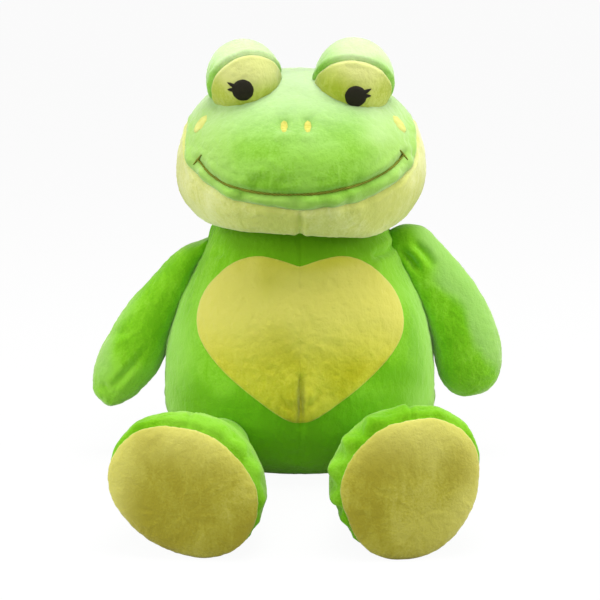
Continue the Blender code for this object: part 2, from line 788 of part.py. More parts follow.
def eye_pieces(pivot, head_room):
    skin = eye_skin()
    edge = skin.last * (1 - EYE_FRONT_ANGLE / 180)
    angles = degrees_between(0, 360, LIMB_COLUMNS)[:-1]
    for name, side in SIDES.items():
        places = evenly(edge, skin.last, EYE_FRONT_BANDS)
        data = panel_mesh(skin, angles, lambda angle: places, closed=True, trims=("low",))
        cut(add_solid(f"eye_front_{name}", data, EYE_YELLOW, pivot, side), head_room)
        bands = evenly(0, edge, EYE_LID_BANDS)
        data = panel_mesh(skin, angles, lambda angle: bands, closed=True, trims=("high",))
        cut(add_solid(f"eye_lid_{name}", data, PALE_GREEN, pivot, side), head_room)
        middles = evenly(0, skin.last, skin.last // 2)
        data = core_mesh(skin, angles, lambda angle: middles, SET_IN)
        cut(add_solid(f"eye_stuffing_{name}", data, STUFFING_WHITE, pivot, side), head_room)
        pupil = add_solid(f"pupil_{name}", pupil_mesh(), THREAD_DARK, pivot, side)
        cut(pupil, head_room)


def face_pieces(skin, pivot):
    add_solid("smile", smile_mesh(skin), THREAD_BROWN, pivot)
    for name, side in SIDES.items():
        data = oval_mesh(
            skin, NOSTRIL_SPACING / 2, NOSTRIL_HEIGHT, NOSTRIL_HALF_WIDTH, NOSTRIL_HALF_HEIGHT
        )
        add_solid(f"nostril_{name}", data, THREAD_YELLOW, pivot, side)
        data = oval_mesh(
            skin,
            CHEEK_MARK_OUT,
            CHEEK_MARK_HEIGHT,
            CHEEK_MARK_HALF_WIDTH,
            CHEEK_MARK_HALF_LENGTH,
            -CHEEK_MARK_TILT,
        )
        add_solid(f"cheek_mark_{name}", data, THREAD_YELLOW, pivot, side)


def limb_pieces(skin, last, names, side_name, pivot):
    """The two fabric halves of a limb, sewn along the plane through its axis."""
    side = SIDES[side_name]
    places = evenly(0, last, last)
    for name, first, plane in ((names[0], 0, 1), (names[1], -180, -1)):
        angles = degrees_between(first, first + 180, LIMB_COLUMNS // 2)
        trims = ("high",) if last < skin.last else ()
        planes = (Vector((plane, 0, 0)),)
        data = panel_mesh(skin, angles, lambda angle: places, planes=planes, trims=trims)
        add_solid(f"{name}_{side_name}", data, BRIGHT_GREEN, pivot, side)


def stuff_limb(skin, name, side_name, pivot):
    angles = degrees_between(0, 360, LIMB_COLUMNS // 2)[:-1]
    places = evenly(0, skin.last, skin.last)
    data = core_mesh(skin, angles, lambda angle: places, SET_IN)
    add_solid(f"{name}_{side_name}", data, STUFFING_WHITE, pivot, SIDES[side_name])


def build():
    clear_scene()
    torso, head = torso_skin(), head_skin()
    shoulder, hip = shoulder_place(torso), hip_place(torso)
    arm, leg = arm_skin(shoulder), leg_skin(hip)
    shoulder_cutters, hip_cutters = {}, {}
    for name, side in SIDES.items():
        room = SHOULDER_BALL + CLEARANCE
        shoulder_cutters[name] = add_ball_cutter(
            f"shoulder_room_{name}", mirrored(shoulder, side), room
        )
        room = HIP_BALL + CLEARANCE
        hip_cutters[name] = add_ball_cutter(f"hip_room_{name}", mirrored(hip, side), room)
    neck_cutter = add_ball_cutter("neck_room", NECK_CENTRE, NECK_RADIUS + CLEARANCE)
    torso_pieces(torso, shoulder_cutters, hip_cutters)
    add_solid("tummy_heart", heart_mesh(torso), HEART_YELLOW)

    neck_pivot = add_pivot("neck_pivot", NECK_CENTRE)
    add_solid("neck_stuffing", neck_ring(0.0, NECK_PAD_ANGLE), STUFFING_WHITE, neck_pivot)
    head_pivot = add_pivot("head_pivot", NECK_CENTRE)
    head_room = head_pieces(head, head_pivot, neck_cutter)
    eye_pieces(head_pivot, head_room)
    face_pieces(head, head_pivot)

    for name, side in SIDES.items():
        pivot = add_pivot(f"shoulder_pivot_{name}", mirrored(shoulder, side))
        limb_pieces(arm, arm.last, ("arm_front", "arm_back"), name, pivot)
        stuff_limb(arm, "arm_stuffing", name, pivot)
        pivot = add_pivot(f"hip_pivot_{name}", mirrored(hip, side))
        edge = leg.last - len(SOLE_SHARES) - 1
        limb_pieces(leg, edge, ("leg_inner", "leg_outer"), name, pivot)
        angles = degrees_between(0, 360, LIMB_COLUMNS)[:-1]
        places = evenly(edge, leg.last, len(SOLE_SHARES) + 1)
        data = panel_mesh(leg, angles, lambda angle: places, closed=True, trims=("low",))
        add_solid(f"sole_{name}", data, SOLE_YELLOW, pivot, side)
        stuff_limb(leg, "leg_stuffing", name, pivot)


build()
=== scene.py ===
"""Looks of the plush frog: soft stuffed forms, seams, stitches and short pile.

Metres, in the same frame as the solids.  The frog faces -Y and its left is +X.
Every stuffed form is a grid: its columns go round the form and its rows follow along it.
Cloth simulation swells it between its seams, then seams, puckers, folds and pile are
given to it by moving its points.
"""

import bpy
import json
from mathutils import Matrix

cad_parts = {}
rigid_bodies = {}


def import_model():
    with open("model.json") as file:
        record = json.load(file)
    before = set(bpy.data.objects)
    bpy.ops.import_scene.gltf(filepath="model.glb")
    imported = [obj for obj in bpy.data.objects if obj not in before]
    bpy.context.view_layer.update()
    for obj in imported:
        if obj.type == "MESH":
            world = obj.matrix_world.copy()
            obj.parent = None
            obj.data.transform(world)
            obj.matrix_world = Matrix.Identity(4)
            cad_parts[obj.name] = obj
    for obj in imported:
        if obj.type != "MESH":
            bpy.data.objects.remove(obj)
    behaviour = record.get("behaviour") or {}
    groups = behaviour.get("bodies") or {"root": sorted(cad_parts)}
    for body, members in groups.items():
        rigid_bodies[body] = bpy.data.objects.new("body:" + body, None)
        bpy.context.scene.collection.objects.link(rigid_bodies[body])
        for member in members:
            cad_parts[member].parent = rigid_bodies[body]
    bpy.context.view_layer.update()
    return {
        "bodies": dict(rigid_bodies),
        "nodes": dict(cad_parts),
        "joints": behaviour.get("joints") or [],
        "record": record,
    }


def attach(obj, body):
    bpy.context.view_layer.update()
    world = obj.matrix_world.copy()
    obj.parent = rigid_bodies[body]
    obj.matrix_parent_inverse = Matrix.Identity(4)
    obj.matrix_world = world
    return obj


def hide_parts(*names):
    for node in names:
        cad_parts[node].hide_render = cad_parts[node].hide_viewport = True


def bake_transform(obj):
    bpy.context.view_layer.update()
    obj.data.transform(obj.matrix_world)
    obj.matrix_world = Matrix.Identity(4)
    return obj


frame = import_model()

import json
import math

import bmesh
import bpy
import numpy as np
from mathutils import Matrix, Vector
from mathutils.bvhtree import BVHTree
from mathutils.kdtree import KDTree

TAU = math.tau
SCENE = bpy.context.scene
# Ways along which painted light and shade change: up, and up to the chest
UP = (0, 0, 1)
CHEST = (0, -0.5, 0.866)
SIDES = {"left": 1, "right": -1}

# Measures of the forms, as in the solids
NECK = np.array((0.0, 0.0, 0.15))
NECK_RADIUS = 0.06
NECK_GAP = 0.001
TORSO_WIDTH, TORSO_FRONT, TORSO_BACK = 0.0945, 0.084, 0.0835
SHOULDER_SPREAD = 0.0042
HEART_WIDTH, HEART_HEIGHT, HEART_BOTTOM, HEART_MIDDLE = 0.0695, 0.107, 0.0455, 0.056
HEAD_BOTTOM, HEAD_HEIGHT = 0.1695, 0.1025
HEAD_WIDTH, HEAD_FRONT, HEAD_BACK = 0.0835, 0.0885, 0.065
SHOULDER = np.array((0.073507, 0.0, 0.144))
ARM_SLOPE = math.radians(30)
HIP = np.array((0.053, -0.079808, 0.028))
HIP_BALL = 0.0205
LEG_SPLAY = math.radians(7)
LEG_LENGTH, LEG_WIDTH, LEG_TOP, LEG_BOTTOM, LEG_LEAN = 0.122, 0.0448, 0.0515, 0.028, 0.15
# How square the rings are: 2 is an ellipse
TORSO_POWER, HEAD_POWER, ARM_POWER, LEG_POWER = 2.1, 2.15, 2.15, 2.2
# How far the cut edge of the cloth turns in at a seam
HEM, EYE_HEM = 0.003, 0.002

# The seat's rings: half width, front, back
SEAT = ((0, 0, 0), (0.02, 0.016, 0.018), (0.041, 0.032, 0.037), (0.0575, 0.0445, 0.0515))
# Torso and head: share of the height, then shares of the half width, front and back
PEAR = (
    (0.040, 0.790, 0.730, 0.790), (0.125, 0.930, 0.885, 0.930), (0.255, 0.995, 0.975, 1.000),
    (0.400, 0.995, 1.000, 0.995), (0.570, 0.968, 0.965, 0.945), (0.745, 0.888, 0.890, 0.870),
    (0.900, 0.775, 0.790, 0.775),
)
HEAD = (
    (0.000, 0.765, 0.770, 0.925), (0.025, 0.830, 0.845, 0.955), (0.085, 0.900, 0.912, 0.975),
    (0.170, 0.962, 0.970, 0.990), (0.270, 0.994, 0.997, 1.000), (0.375, 1.000, 0.995, 1.000),
    (0.490, 0.988, 0.955, 0.985), (0.600, 0.946, 0.880, 0.940), (0.700, 0.880, 0.775, 0.870),
    (0.785, 0.790, 0.645, 0.775), (0.865, 0.670, 0.505, 0.655), (0.932, 0.503, 0.358, 0.495),
    (0.982, 0.287, 0.193, 0.280),
)
# The seam round the head: degrees from the front, share of the head's height
CROWN_SEAM = (
    (0, 0.178), (27, 0.226), (47, 0.336), (58, 0.410), (64, 0.510), (76, 0.620),
    (101.25, 0.700), (135, 0.770), (180, 0.820),
)
JAW_CORNER = 101.25
# Each arm's outline in its own frame: along, outer and inner reach, in millimetres
ARM_OUTLINES = {
    "right": (
        (2, 9.8, 7.6), (14, 13.6, 8.6), (28, 17.2, 10.2), (42, 20.4, 12.4),
        (58, 23.0, 15.6), (74, 23.8, 18.4), (90, 23.2, 18.0), (104, 21.2, 14.8),
        (114, 17.4, 10.4), (121, 12.0, 5.4),
    ),
    "left": (
        (2, 24.0, 11.0), (13, 26.4, 10.0), (26, 29.0, 9.8), (40, 31.0, 10.8),
        (54, 31.4, 13.4), (68, 30.2, 17.4), (82, 27.4, 22.0), (94, 23.0, 23.0),
        (103, 17.2, 19.8), (109.5, 10.0, 13.2),
    ),
}
# The gathered root of each arm, up the shoulder: along, thick, outer, inner, lean and bow
ARM_ROOTS = {
    "right": (
        (-0.015, 0, 0, 0, 0, -0.0036), (-0.0138, 0.007, 0.0003, 0.008, 0, -0.0028),
        (-0.0095, 0.011, 0.0024, 0.01, 0, -0.0014), (-0.004, 0.0135, 0.0062, 0.0092),
    ),
    "left": (
        (-0.0205, 0, 0, 0), (-0.0185, 0.0075, 0.0095, 0.007),
        (-0.012, 0.012, 0.0185, 0.0112), (-0.005, 0.014, 0.0222, 0.0118),
    ),
}
ARM_THICKNESS = (0.0145, 0.0148, 0.0156, 0.0168, 0.018, 0.0188, 0.0186, 0.0172, 0.014, 0.0095)
ARM_TIPS = {"right": 125, "left": 114}
# Folds in each arm's front: (x, z) places, and depth
ARM_FOLDS = {
    "right": (
        (((-0.1345, 0.05), (-0.125, 0.0585), (-0.114, 0.07), (-0.102, 0.087)), 0.0018),
        (((-0.139, 0.056), (-0.131, 0.048)), 0.0014),
        (((-0.134, 0.0885), (-0.115, 0.0935)), 0.0014),
    ),
    "left": (
        (((0.0655, 0.152), (0.076, 0.143), (0.085, 0.13)), 0.0032),
        (((0.074, 0.157), (0.085, 0.148), (0.094, 0.136)), 0.0024),
        (((0.064, 0.142), (0.0745, 0.125)), 0.0024),
    ),
}
# Folds in the torso's front: (x, z) places, width, depth, share that fades at each end
TORSO_FOLDS = (
    (((0.0, 0.038), (0.0006, 0.06), (0.0, 0.084)), 0.0032, 0.0044, 0.4),
    (((-0.013, 0.068), (-0.004, 0.05)), 0.0022, 0.0014, 0.5),
    (((0.014, 0.07), (0.004, 0.052)), 0.0022, 0.0014, 0.5),
    (((0.046, 0.1506), (0.056, 0.151), (0.068, 0.152)), 0.0024, 0.0034, 0.3),
    (((-0.06, 0.148), (-0.05, 0.153)), 0.0022, 0.0018, 0.3),
)
# Legs: share of the length, then of the half width, top and bottom, and of the lean
LEG = (
    (0.110, 0.485, 0.415, 0.830, 0.00), (0.260, 0.600, 0.525, 1.000, 0.00),
    (0.420, 0.710, 0.680, 1.030, 0.10), (0.580, 0.800, 0.810, 1.030, 0.30),
    (0.730, 0.870, 0.925, 1.020, 0.60), (0.860, 0.915, 0.985, 1.000, 0.85),
    (0.950, 0.930, 0.970, 0.980, 1.00), (1.000, 0.930, 0.920, 0.960, 1.00),
)
# Radii of each sole's edge in millimetres, from the top round by the outer side
SOLE_EDGES = {
    "right": (
        38.0, 41.6, 46.4, 48.0, 45.0, 39.4, 35.6, 34.6,
        36.2, 40.6, 45.0, 46.0, 44.0, 39.6, 37.0, 37.0,
    ),
    "left": (
        40.6, 44.2, 46.4, 44.2, 40.2, 38.2, 37.4, 38.2,
        40.2, 42.4, 42.8, 40.6, 42.2, 41.0, 39.6, 39.8,
    ),
}
SOLE_CENTRES = {"right": (0.0683, 0.0382), "left": (0.0654, 0.04)}
# The sole's crown: share of its edge, and how far it stands out
SOLE_BULGE = ((1.0, 0.0024), (0.925, 0.0062), (0.72, 0.009), (0.4, 0.0104), (0.0, 0.0108))
# How strongly each foot is gathered beside its sole, and how far it is stuffed out there
GATHERS = {"left": 1, "right": 0.3}
FULLNESS = {"left": 0.0055, "right": 0.0035}
# Half of the heart's outline from its tip up to its notch: shares of its width and height
HEART_EDGE = (
    (0.000, 0.000), (0.115, 0.022), (0.250, 0.072), (0.385, 0.133), (0.525, 0.198),
    (0.655, 0.262), (0.765, 0.322), (0.860, 0.382), (0.940, 0.448), (0.990, 0.520),
    (1.000, 0.610), (0.965, 0.705), (0.895, 0.790), (0.800, 0.862), (0.690, 0.928),
    (0.550, 0.980), (0.390, 1.005), (0.220, 0.992), (0.000, 0.950),
)
# The smile's line in (x, z) places
SMILE = (
    (-0.0665, 0.2166), (-0.0590, 0.2095), (-0.0500, 0.2043), (-0.0425, 0.2021),
    (-0.0300, 0.1995), (-0.0170, 0.1985), (0.0000, 0.1985), (0.0150, 0.1995), (0.0280, 0.2018),
    (0.0410, 0.2046), (0.0540, 0.2096), (0.0630, 0.2150), (0.0675, 0.2195),
)
NOSE_X = -0.0026
NOSTRIL_OUT = 0.0076
# Each eye: its ball, and how far its front looks outward and down in degrees
EYES = {
    "left": dict(centre=(0.0358, -0.025, 0.266), radius=0.0272, outward=-7, drop=45),
    "right": dict(centre=(-0.0374, -0.026, 0.2672), radius=0.0254, outward=20, drop=37),
}
EYE_EDGE = math.radians(78)
PUPILS = {"left": (0.0362, 0.2572), "right": (-0.0371, 0.2612)}
PUPIL_RADIUS = 0.0073
# Threads lie this deep in the pile, and stitched patches are this thick
SUNK, STITCH = -0.0003, 0.0012

CLOTH_FRAMES = 20
CLOTH_PRESSURE = 4
CLOTH_BENDING = 0.6


def srgb(colour):
    """A colour of values from 0 to 255 as Blender takes it."""
    return [((c / 255 + 0.055) / 1.055) ** 2.4 if c > 10 else c / 3295 for c in colour] + [1]


def at_rows(rows, places):
    """Rows on a smooth curve through them all, at places counted from the first."""
    rows = np.asarray(rows, float)
    last = len(rows) - 1
    start = np.clip(places.astype(int), 0, last - 1)
    share = (places - start)[..., None]
    a, b = rows[np.maximum(start - 1, 0)], rows[start]
    c, d = rows[start + 1], rows[np.minimum(start + 2, last)]
    leave, arrive = (c - a) / 2, (d - b) / 2
    bend = 2 * b - 2 * c + leave + arrive
    ease = 3 * c - 3 * b - 2 * leave - arrive
    return b + share * (leave + share * (ease + share * bend))


def noise(points, size, seed):
    """Smooth noise from -1 to 1 with lumps of about this size."""
    at = points / size + seed * 19.37
    cell = np.floor(at).astype(np.int64)
    part = at - cell
    part = part * part * (3 - 2 * part)
    total = np.zeros(points.shape[:-1])
    for corner in range(8):
        step = np.array((corner & 1, corner >> 1 & 1, corner >> 2 & 1))
        key = cell + step
        mixed = key[..., 0] * 73856093 ^ key[..., 1] * 19349663 ^ key[..., 2] * 83492791
        mixed = (mixed ^ mixed >> 13) * 1274126177 & 0x7FFFFFFF
        value = ((mixed ^ mixed >> 15) & 0xFFFF) / 32768 - 1
        total += value * np.prod(np.where(step, part, 1 - part), axis=-1)
    return total


def unit(values):
    """Values kept from 0 to 1."""
    return np.clip(values, 0, 1)


def ring(count):
    """Angles all round, from the front."""
    return np.arange(count) * TAU / count


def full(rows, power):
    """Rows filled up to seven values: lean and bow are zero unless given."""
    spare = (0.0, 0.0, power)
    return np.array([tuple(row) + spare[len(row) - 4 :] for row in rows])


def ball_rows(radius, centre, angles):
    """Rows of a ball, at angles in degrees from its top."""
    rows = []
    for angle in angles:
        reach = radius * math.sin(math.radians(angle))
        along = centre + radius * math.cos(math.radians(angle))
        rows.append((along, reach, reach, reach, 0.0, 0.0, 2.0))
    return rows


def egg(rows, angles, places, frame=None, floor=None, edge=None):
    """Points of a form: rings of egg shape at the places, in their own frame.

    A row says along, half width, front, back, lean, bow and power.
    """
    angles, places = np.broadcast_arrays(angles, places)
    row = at_rows(rows, places)
    along, width, front, back, lean, bow, power = np.moveaxis(row, -1, 0)
    width, front, back = (np.maximum(v, 0) for v in (width, front, back))
    side, ahead = np.sin(angles), np.cos(angles)
    depth = np.where(ahead > 0, front, back)
    open_ring = np.minimum(width, depth) > 1e-7
    safe_w, safe_d = np.where(open_ring, width, 1), np.where(open_ring, depth, 1)
    reach = (np.abs(side) / safe_w) ** power + (np.abs(ahead) / safe_d) ** power
    reach = np.where(open_ring, reach ** (-1 / power), 0)
    if edge is not None:
        reach = edge(angles, places, reach)
    across = -ahead * reach
    points = np.stack((side * reach, across - bow, along + lean * across), -1)
    if frame is not None:
        matrix = np.array(frame)
        points = points @ matrix[:3, :3].T + matrix[:3, 3]
    if floor is not None:
        points[..., 2] = np.maximum(points[..., 2], floor)
    return points


def smooth_normals(normals, times):
    for _ in range(times):
        normals = (
            normals * 2
            + np.roll(normals, 1, 0)
            + np.roll(normals, -1, 0)
            + np.concatenate((normals[:, 1:], normals[:, -1:]), 1)
            + np.concatenate((normals[:, :1], normals[:, :-1]), 1)
        )
        normals /= np.maximum(np.linalg.norm(normals, axis=-1, keepdims=True), 1e-9)
    return normals


def grid_normals(points):
    around = np.roll(points, -1, 0) - np.roll(points, 1, 0)
    along = np.gradient(points, axis=1)
    normals = np.cross(around, along)
    size = np.linalg.norm(normals, axis=-1, keepdims=True)
    normals = normals / np.maximum(size, 1e-12)
    for row, near in ((0, 1), (-1, -2)):
        if size[:, row].max() < 1e-9:
            mean = normals[:, near].mean(0)
            normals[:, row] = mean / np.linalg.norm(mean)
    return smooth_normals(normals, 2)


def raised(points, rise):
    return points + grid_normals(points) * rise[..., None]


def from_row(points, row):
    """How far each point is from one row of its grid, over the surface."""
    length = np.cumsum(np.linalg.norm(np.gradient(points, axis=1), axis=-1), 1)
    return length - length[:, row : row + 1]


def from_line(points, line):
    """How far each point is from a line of (x, z) places, and how far along it."""
    flat = points[..., (0, 2)]
    line = np.asarray(line, float)
    gap = np.full(points.shape[:-1], np.inf)
    along = np.zeros(points.shape[:-1])
    for k, (a, b) in enumerate(zip(line, line[1:])):
        share = unit((flat - a) @ (b - a) / ((b - a) @ (b - a)))
        near = np.linalg.norm(flat - a - share[..., None] * (b - a), axis=-1)
        along = np.where(near < gap, (k + share) / (len(line) - 1), along)
        gap = np.minimum(near, gap)
    return gap, along


def frame_of(root, along, front):
    back = -Vector(front)
    along = Vector(along)
    turn = Matrix((back.cross(along), back, along)).transposed()
    return Matrix.Translation(Vector(root)) @ turn.to_4x4()


def in_frame(points, frame):
    matrix = np.array(frame)
    return (points - matrix[:3, 3]) @ matrix[:3, :3]


def hem_edges(work, rim, depth, points, normals):
    """Turns the cut edge of the cloth into the form, as the seam allowance lies."""
    made = bmesh.ops.extrude_edge_only(work, edges=rim)["geom"]
    tree = KDTree(len(points))
    for k, place in enumerate(points):
        tree.insert(place, k)
    tree.balance()
    for item in made:
        if isinstance(item, bmesh.types.BMVert):
            item.co -= Vector(normals[tree.find(item.co)[1]]) * depth


def smooth_mesh(mesh, work):
    work.to_mesh(mesh)
    work.free()
    mesh.polygons.foreach_set("use_smooth", np.ones(len(mesh.polygons), bool))
    return mesh


def quads_of(points):
    """The faces of a grid that closes round itself, by column and row."""
    index = np.arange(points[..., 0].size).reshape(points.shape[:2])
    a, b = index[:, :-1], np.roll(index, -1, 0)[:, :-1]
    return np.stack((a, b, b + 1, a + 1), -1)


def grid_mesh(name, points, keep=None, hem=0.0):
    """A mesh of a closed grid, or of its faces that keep marks."""
    faces = quads_of(points)
    faces = faces.reshape(-1, 4) if keep is None else faces[keep]
    used, faces = np.unique(faces, return_inverse=True)
    flat = points.reshape(-1, 3)[used]
    mesh = bpy.data.meshes.new(name)
    mesh.from_pydata(flat.tolist(), [], faces.reshape(-1, 4).tolist())
    work = bmesh.new()
    work.from_mesh(mesh)
    bmesh.ops.remove_doubles(work, verts=work.verts, dist=2e-5)
    bmesh.ops.recalc_face_normals(work, faces=work.faces)
    rim = [edge for edge in work.edges if edge.is_boundary]
    if rim and hem:
        hem_edges(work, rim, hem, flat, grid_normals(points).reshape(-1, 3)[used])
    return smooth_mesh(mesh, work)


def swollen(points, pinned, cap):
    """How far a stuffed form swells outward between its pinned seams, per grid point."""
    columns, rows = points.shape[:2]
    mesh = bpy.data.meshes.new("stuffing form")
    faces = []
    low = columns * rows
    for i in range(columns):
        a, b = i * rows, (i + 1) % columns * rows
        faces += [(a + j, b + j, b + j + 1, a + j + 1) for j in range(1, rows - 2)]
        faces += [(low, b + 1, a + 1), (low + 1, a + rows - 2, b + rows - 2)]
    flat = points.reshape(-1, 3)
    ends = [points[:, 0].mean(0), points[:, -1].mean(0)]
    mesh.from_pydata(flat.tolist() + [list(e) for e in ends], [], faces)
    form = bpy.data.objects.new("stuffing form", mesh)
    SCENE.collection.objects.link(form)
    group = form.vertex_groups.new(name="seams")
    group.add([*np.flatnonzero(pinned).tolist(), low, low + 1], 1.0, "REPLACE")
    cloth = form.modifiers.new("Cloth", "CLOTH")
    settings = cloth.settings
    settings.quality = 5
    settings.use_pressure = True
    settings.uniform_pressure_force = CLOTH_PRESSURE
    settings.vertex_group_mass = "seams"
    settings.effector_weights.gravity = 0
    settings.bending_stiffness = CLOTH_BENDING
    cloth.point_cache.frame_start = 1
    cloth.point_cache.frame_end = CLOTH_FRAMES
    for step in range(1, CLOTH_FRAMES + 1):
        SCENE.frame_set(step)
    held = form.evaluated_get(bpy.context.evaluated_depsgraph_get())
    result = held.to_mesh()
    moved = np.empty(len(result.vertices) * 3, np.float32)
    result.vertices.foreach_get("co", moved)
    moved = moved.reshape(-1, 3)[: columns * rows].reshape(columns, rows, 3)
    held.to_mesh_clear()
    bpy.data.objects.remove(form)
    SCENE.frame_set(1)
    out = ((moved - points) * grid_normals(points)).sum(-1)
    return np.clip(out, -cap, cap)


def finer(values, factor):
    """A closed grid of numbers made finer by a whole factor, on smooth curves."""
    columns, rows = values.shape
    where = np.arange(columns * factor) / factor
    wrapped = np.concatenate((values[-2:], values, values[:3]))
    values = at_rows(wrapped, where + 2)
    where = np.arange((rows - 1) * factor + 1) / factor
    return at_rows(values.T, where).T


def stuffed(points_at, angles, places, pinned, factor, cap):
    """The fine grid of a form, swollen by the cloth of its coarse grid."""
    fine = points_at(angles, places)
    coarse = points_at(angles[::factor], places[(slice(None, None, factor),) * places.ndim])
    puff = swollen(coarse, pinned, cap)
    return raised(fine, finer(puff - np.median(puff), factor))


def groove(distance, width, depth):
    """A seam: a narrow groove with a low roll on each side of it."""
    d = np.abs(distance) / width
    return -depth * np.exp(-d * d) + depth * 0.22 * np.exp(-((d - 2.2) ** 2) / 1.2)


def bump_at(points, centre, radii):
    """A soft lump of height 1 about a place."""
    offset = (points - np.array(centre)) / np.array(radii)
    return np.exp(-(offset**2).sum(-1))


def crease(points, path, width, depth, fade):
    """A fold on the front, along a line of (x, z) places, deepest in its middle."""
    gap, along = from_line(points, path)
    ends = unit(np.minimum(along, 1 - along) / fade)
    ahead = unit(0.5 - points[..., 1] / 0.008)
    return groove(gap, width, depth) * ends * ends * (3 - 2 * ends) * ahead


def puckers(points, distance, size, reach, height, seed):
    """Small gathers beside a seam, that fade away from it."""
    return height * noise(points, size, seed) * np.exp(-((distance / reach) ** 2))


def plush(points, lumps, pile, seed, flatten=1.0):
    """Loose stuffing under the cloth, and the pile that stands on it."""
    rise = lumps * noise(points, 0.03, seed) + lumps * 0.5 * noise(points, 0.014, seed + 1)
    tuft = noise(points, 0.0034, seed + 2) * 0.6 + noise(points, 0.0019, seed + 3) * 0.7
    return raised(points, (rise + pile * tuft) * flatten)


# Materials


def wire(node, *inputs, **names):
    """Gives a node its inputs, by place or by name: links nodes and sockets, sets values."""
    for key, value in (*enumerate(inputs), *names.items()):
        socket = node.inputs[key if isinstance(key, int) else key.replace("_", " ")]
        if isinstance(value, bpy.types.Node):
            value = value.outputs[0]
        if isinstance(value, bpy.types.NodeSocket):
            node.id_data.links.new(value, socket)
        else:
            socket.default_value = value
    return node


def add(tree, kind, *inputs, operation=None, **names):
    node = tree.nodes.new(kind)
    if operation:
        node.operation = operation
    return wire(node, *inputs, **names)


def math_node(tree, operation, *inputs):
    return add(tree, "ShaderNodeMath", *inputs, operation=operation)


def new_material(name):
    material = bpy.data.materials.new(name)
    material.use_nodes = True
    return material, material.node_tree, material.node_tree.nodes["Principled BSDF"]


def ramp(tree, value, *stops):
    node = add(tree, "ShaderNodeValToRGB", value)
    elements = node.color_ramp.elements
    while len(elements) < len(stops):
        elements.new(1.0)
    for element, (position, colour) in zip(elements, stops):
        element.position = position
        element.color = srgb(colour)
    return node


FINE_SHARE = 0.4
# How far the edges of painted light and shade wander
PAINTED_EDGE_WANDER = 0.03


def plush_material(name, base, light, dark, sheen, tint, *painted_tones):
    """Short pile: soft brushed patches, fine tufts, and a bloom where light skims it.

    Each further tone is painted light or shade, paler or darker by place: its colour, the way
    to it, and how far that way it starts and is full.
    """
    material, tree, shader = new_material(name)
    place = add(tree, "ShaderNodeTexCoord").outputs["Object"]
    turned = add(
        tree, "ShaderNodeMapping", place, Location=(0.137, 0.291, 0.083), Rotation=(0.5, 0.7, 0.3)
    )
    patches = add(
        tree, "ShaderNodeTexNoise", turned, Scale=24, Detail=1, Roughness=0.4, Distortion=0.5
    )
    brushed = add(
        tree, "ShaderNodeMapping", place,
        Location=(0.261, 0.113, 0.397), Rotation=(0.1, 0.2, 0.3), Scale=(1.5, 1.5, 0.6),
    )
    strokes = add(
        tree, "ShaderNodeTexNoise", brushed, Scale=90, Detail=2, Roughness=0.5, Distortion=1.2
    )
    tufts = add(tree, "ShaderNodeTexNoise", place, Scale=700, Detail=2, Roughness=0.6)
    tone = math_node(tree, "MULTIPLY_ADD", strokes, FINE_SHARE, patches)
    tone = math_node(tree, "MULTIPLY_ADD", tufts, FINE_SHARE, tone)
    tone = math_node(tree, "MULTIPLY", tone, 0.85 / (0.5 + FINE_SHARE))
    colour = ramp(tree, tone, (0.7, dark), (0.85, base), (1.0, light))
    # Painted light and shade, laid on by place
    for other, way, start, end in painted_tones:
        reach = add(tree, "ShaderNodeVectorMath", place, way, operation="DOT_PRODUCT")
        reach = math_node(tree, "ABSOLUTE", reach.outputs["Value"])
        reach = math_node(tree, "MULTIPLY_ADD", patches, PAINTED_EDGE_WANDER, reach)
        share = tree.nodes.new("ShaderNodeMapRange")
        share.interpolation_type = "SMOOTHSTEP"
        wire(share, reach, start + PAINTED_EDGE_WANDER / 2, end + PAINTED_EDGE_WANDER / 2)
        colour = add(tree, "ShaderNodeMixRGB", share, colour, srgb(other))
    pile = add(tree, "ShaderNodeBump", Strength=0.4, Distance=0.001, Height=tufts)
    pile = add(tree, "ShaderNodeBump", Strength=0.18, Distance=0.0024, Height=strokes, Normal=pile)
    wire(
        shader, Base_Color=colour, Normal=pile, Roughness=1, Specular_IOR_Level=0.1,
        Sheen_Weight=sheen, Sheen_Roughness=0.45, Sheen_Tint=(*tint, 1),
        Subsurface_Weight=0.15, Subsurface_Radius=(1, 1, 0.4), Subsurface_Scale=0.004,
    )
    return material


def thread_material(name, base, light, scale, turn):
    """Satin stitch: close parallel threads, each with its own tone."""
    material, tree, shader = new_material(name)
    place = add(tree, "ShaderNodeTexCoord").outputs["Object"]
    turned = add(tree, "ShaderNodeMapping", place, Rotation=turn)
    wave = add(tree, "ShaderNodeTexWave", turned, Scale=scale, Distortion=1.2, Detail=2)
    wave = wave.outputs["Fac"]
    speck = add(tree, "ShaderNodeTexNoise", place, Scale=240, Detail=2)
    tone = math_node(tree, "MULTIPLY_ADD", wave, 0.6, speck)
    bump = add(tree, "ShaderNodeBump", Strength=0.6, Distance=0.0004, Height=wave)
    wire(
        shader, Base_Color=ramp(tree, tone, (0.45, base), (1.0, light)), Normal=bump,
        Roughness=0.6, Specular_IOR_Level=0.2,
    )
    return material


# Colours are sRGB from 0 to 255, and tints of sheen are linear
GREENS = ((128, 198, 26), (144, 210, 54), (112, 184, 12), 0.7, (0.84, 1, 0.62))
# Painted sheen: a paler green on the outer side of each arm, where side light skims it
PAINTED_SHEEN_GREEN = (146, 197, 92)
GREEN = plush_material(
    "bright green plush", (122, 190, 24), (136, 202, 48), (108, 178, 12), 0.4, (0.82, 1, 0.56)
)
# Painted shade low on the belly and on the upper chest under the chin, and a painted sheen that
# makes the flanks paler
TORSO_GREEN = plush_material(
    "bright green plush, body", (122, 191, 22), (138, 203, 48), (106, 177, 9), 0.5,
    (0.82, 1, 0.54), ((106, 174, 12), UP, 0.08, 0.055),
    ((142, 204, 74), (1, 0, 0), 0.062, 0.092), ((98, 156, 8), CHEST, 0.147, 0.164),
)
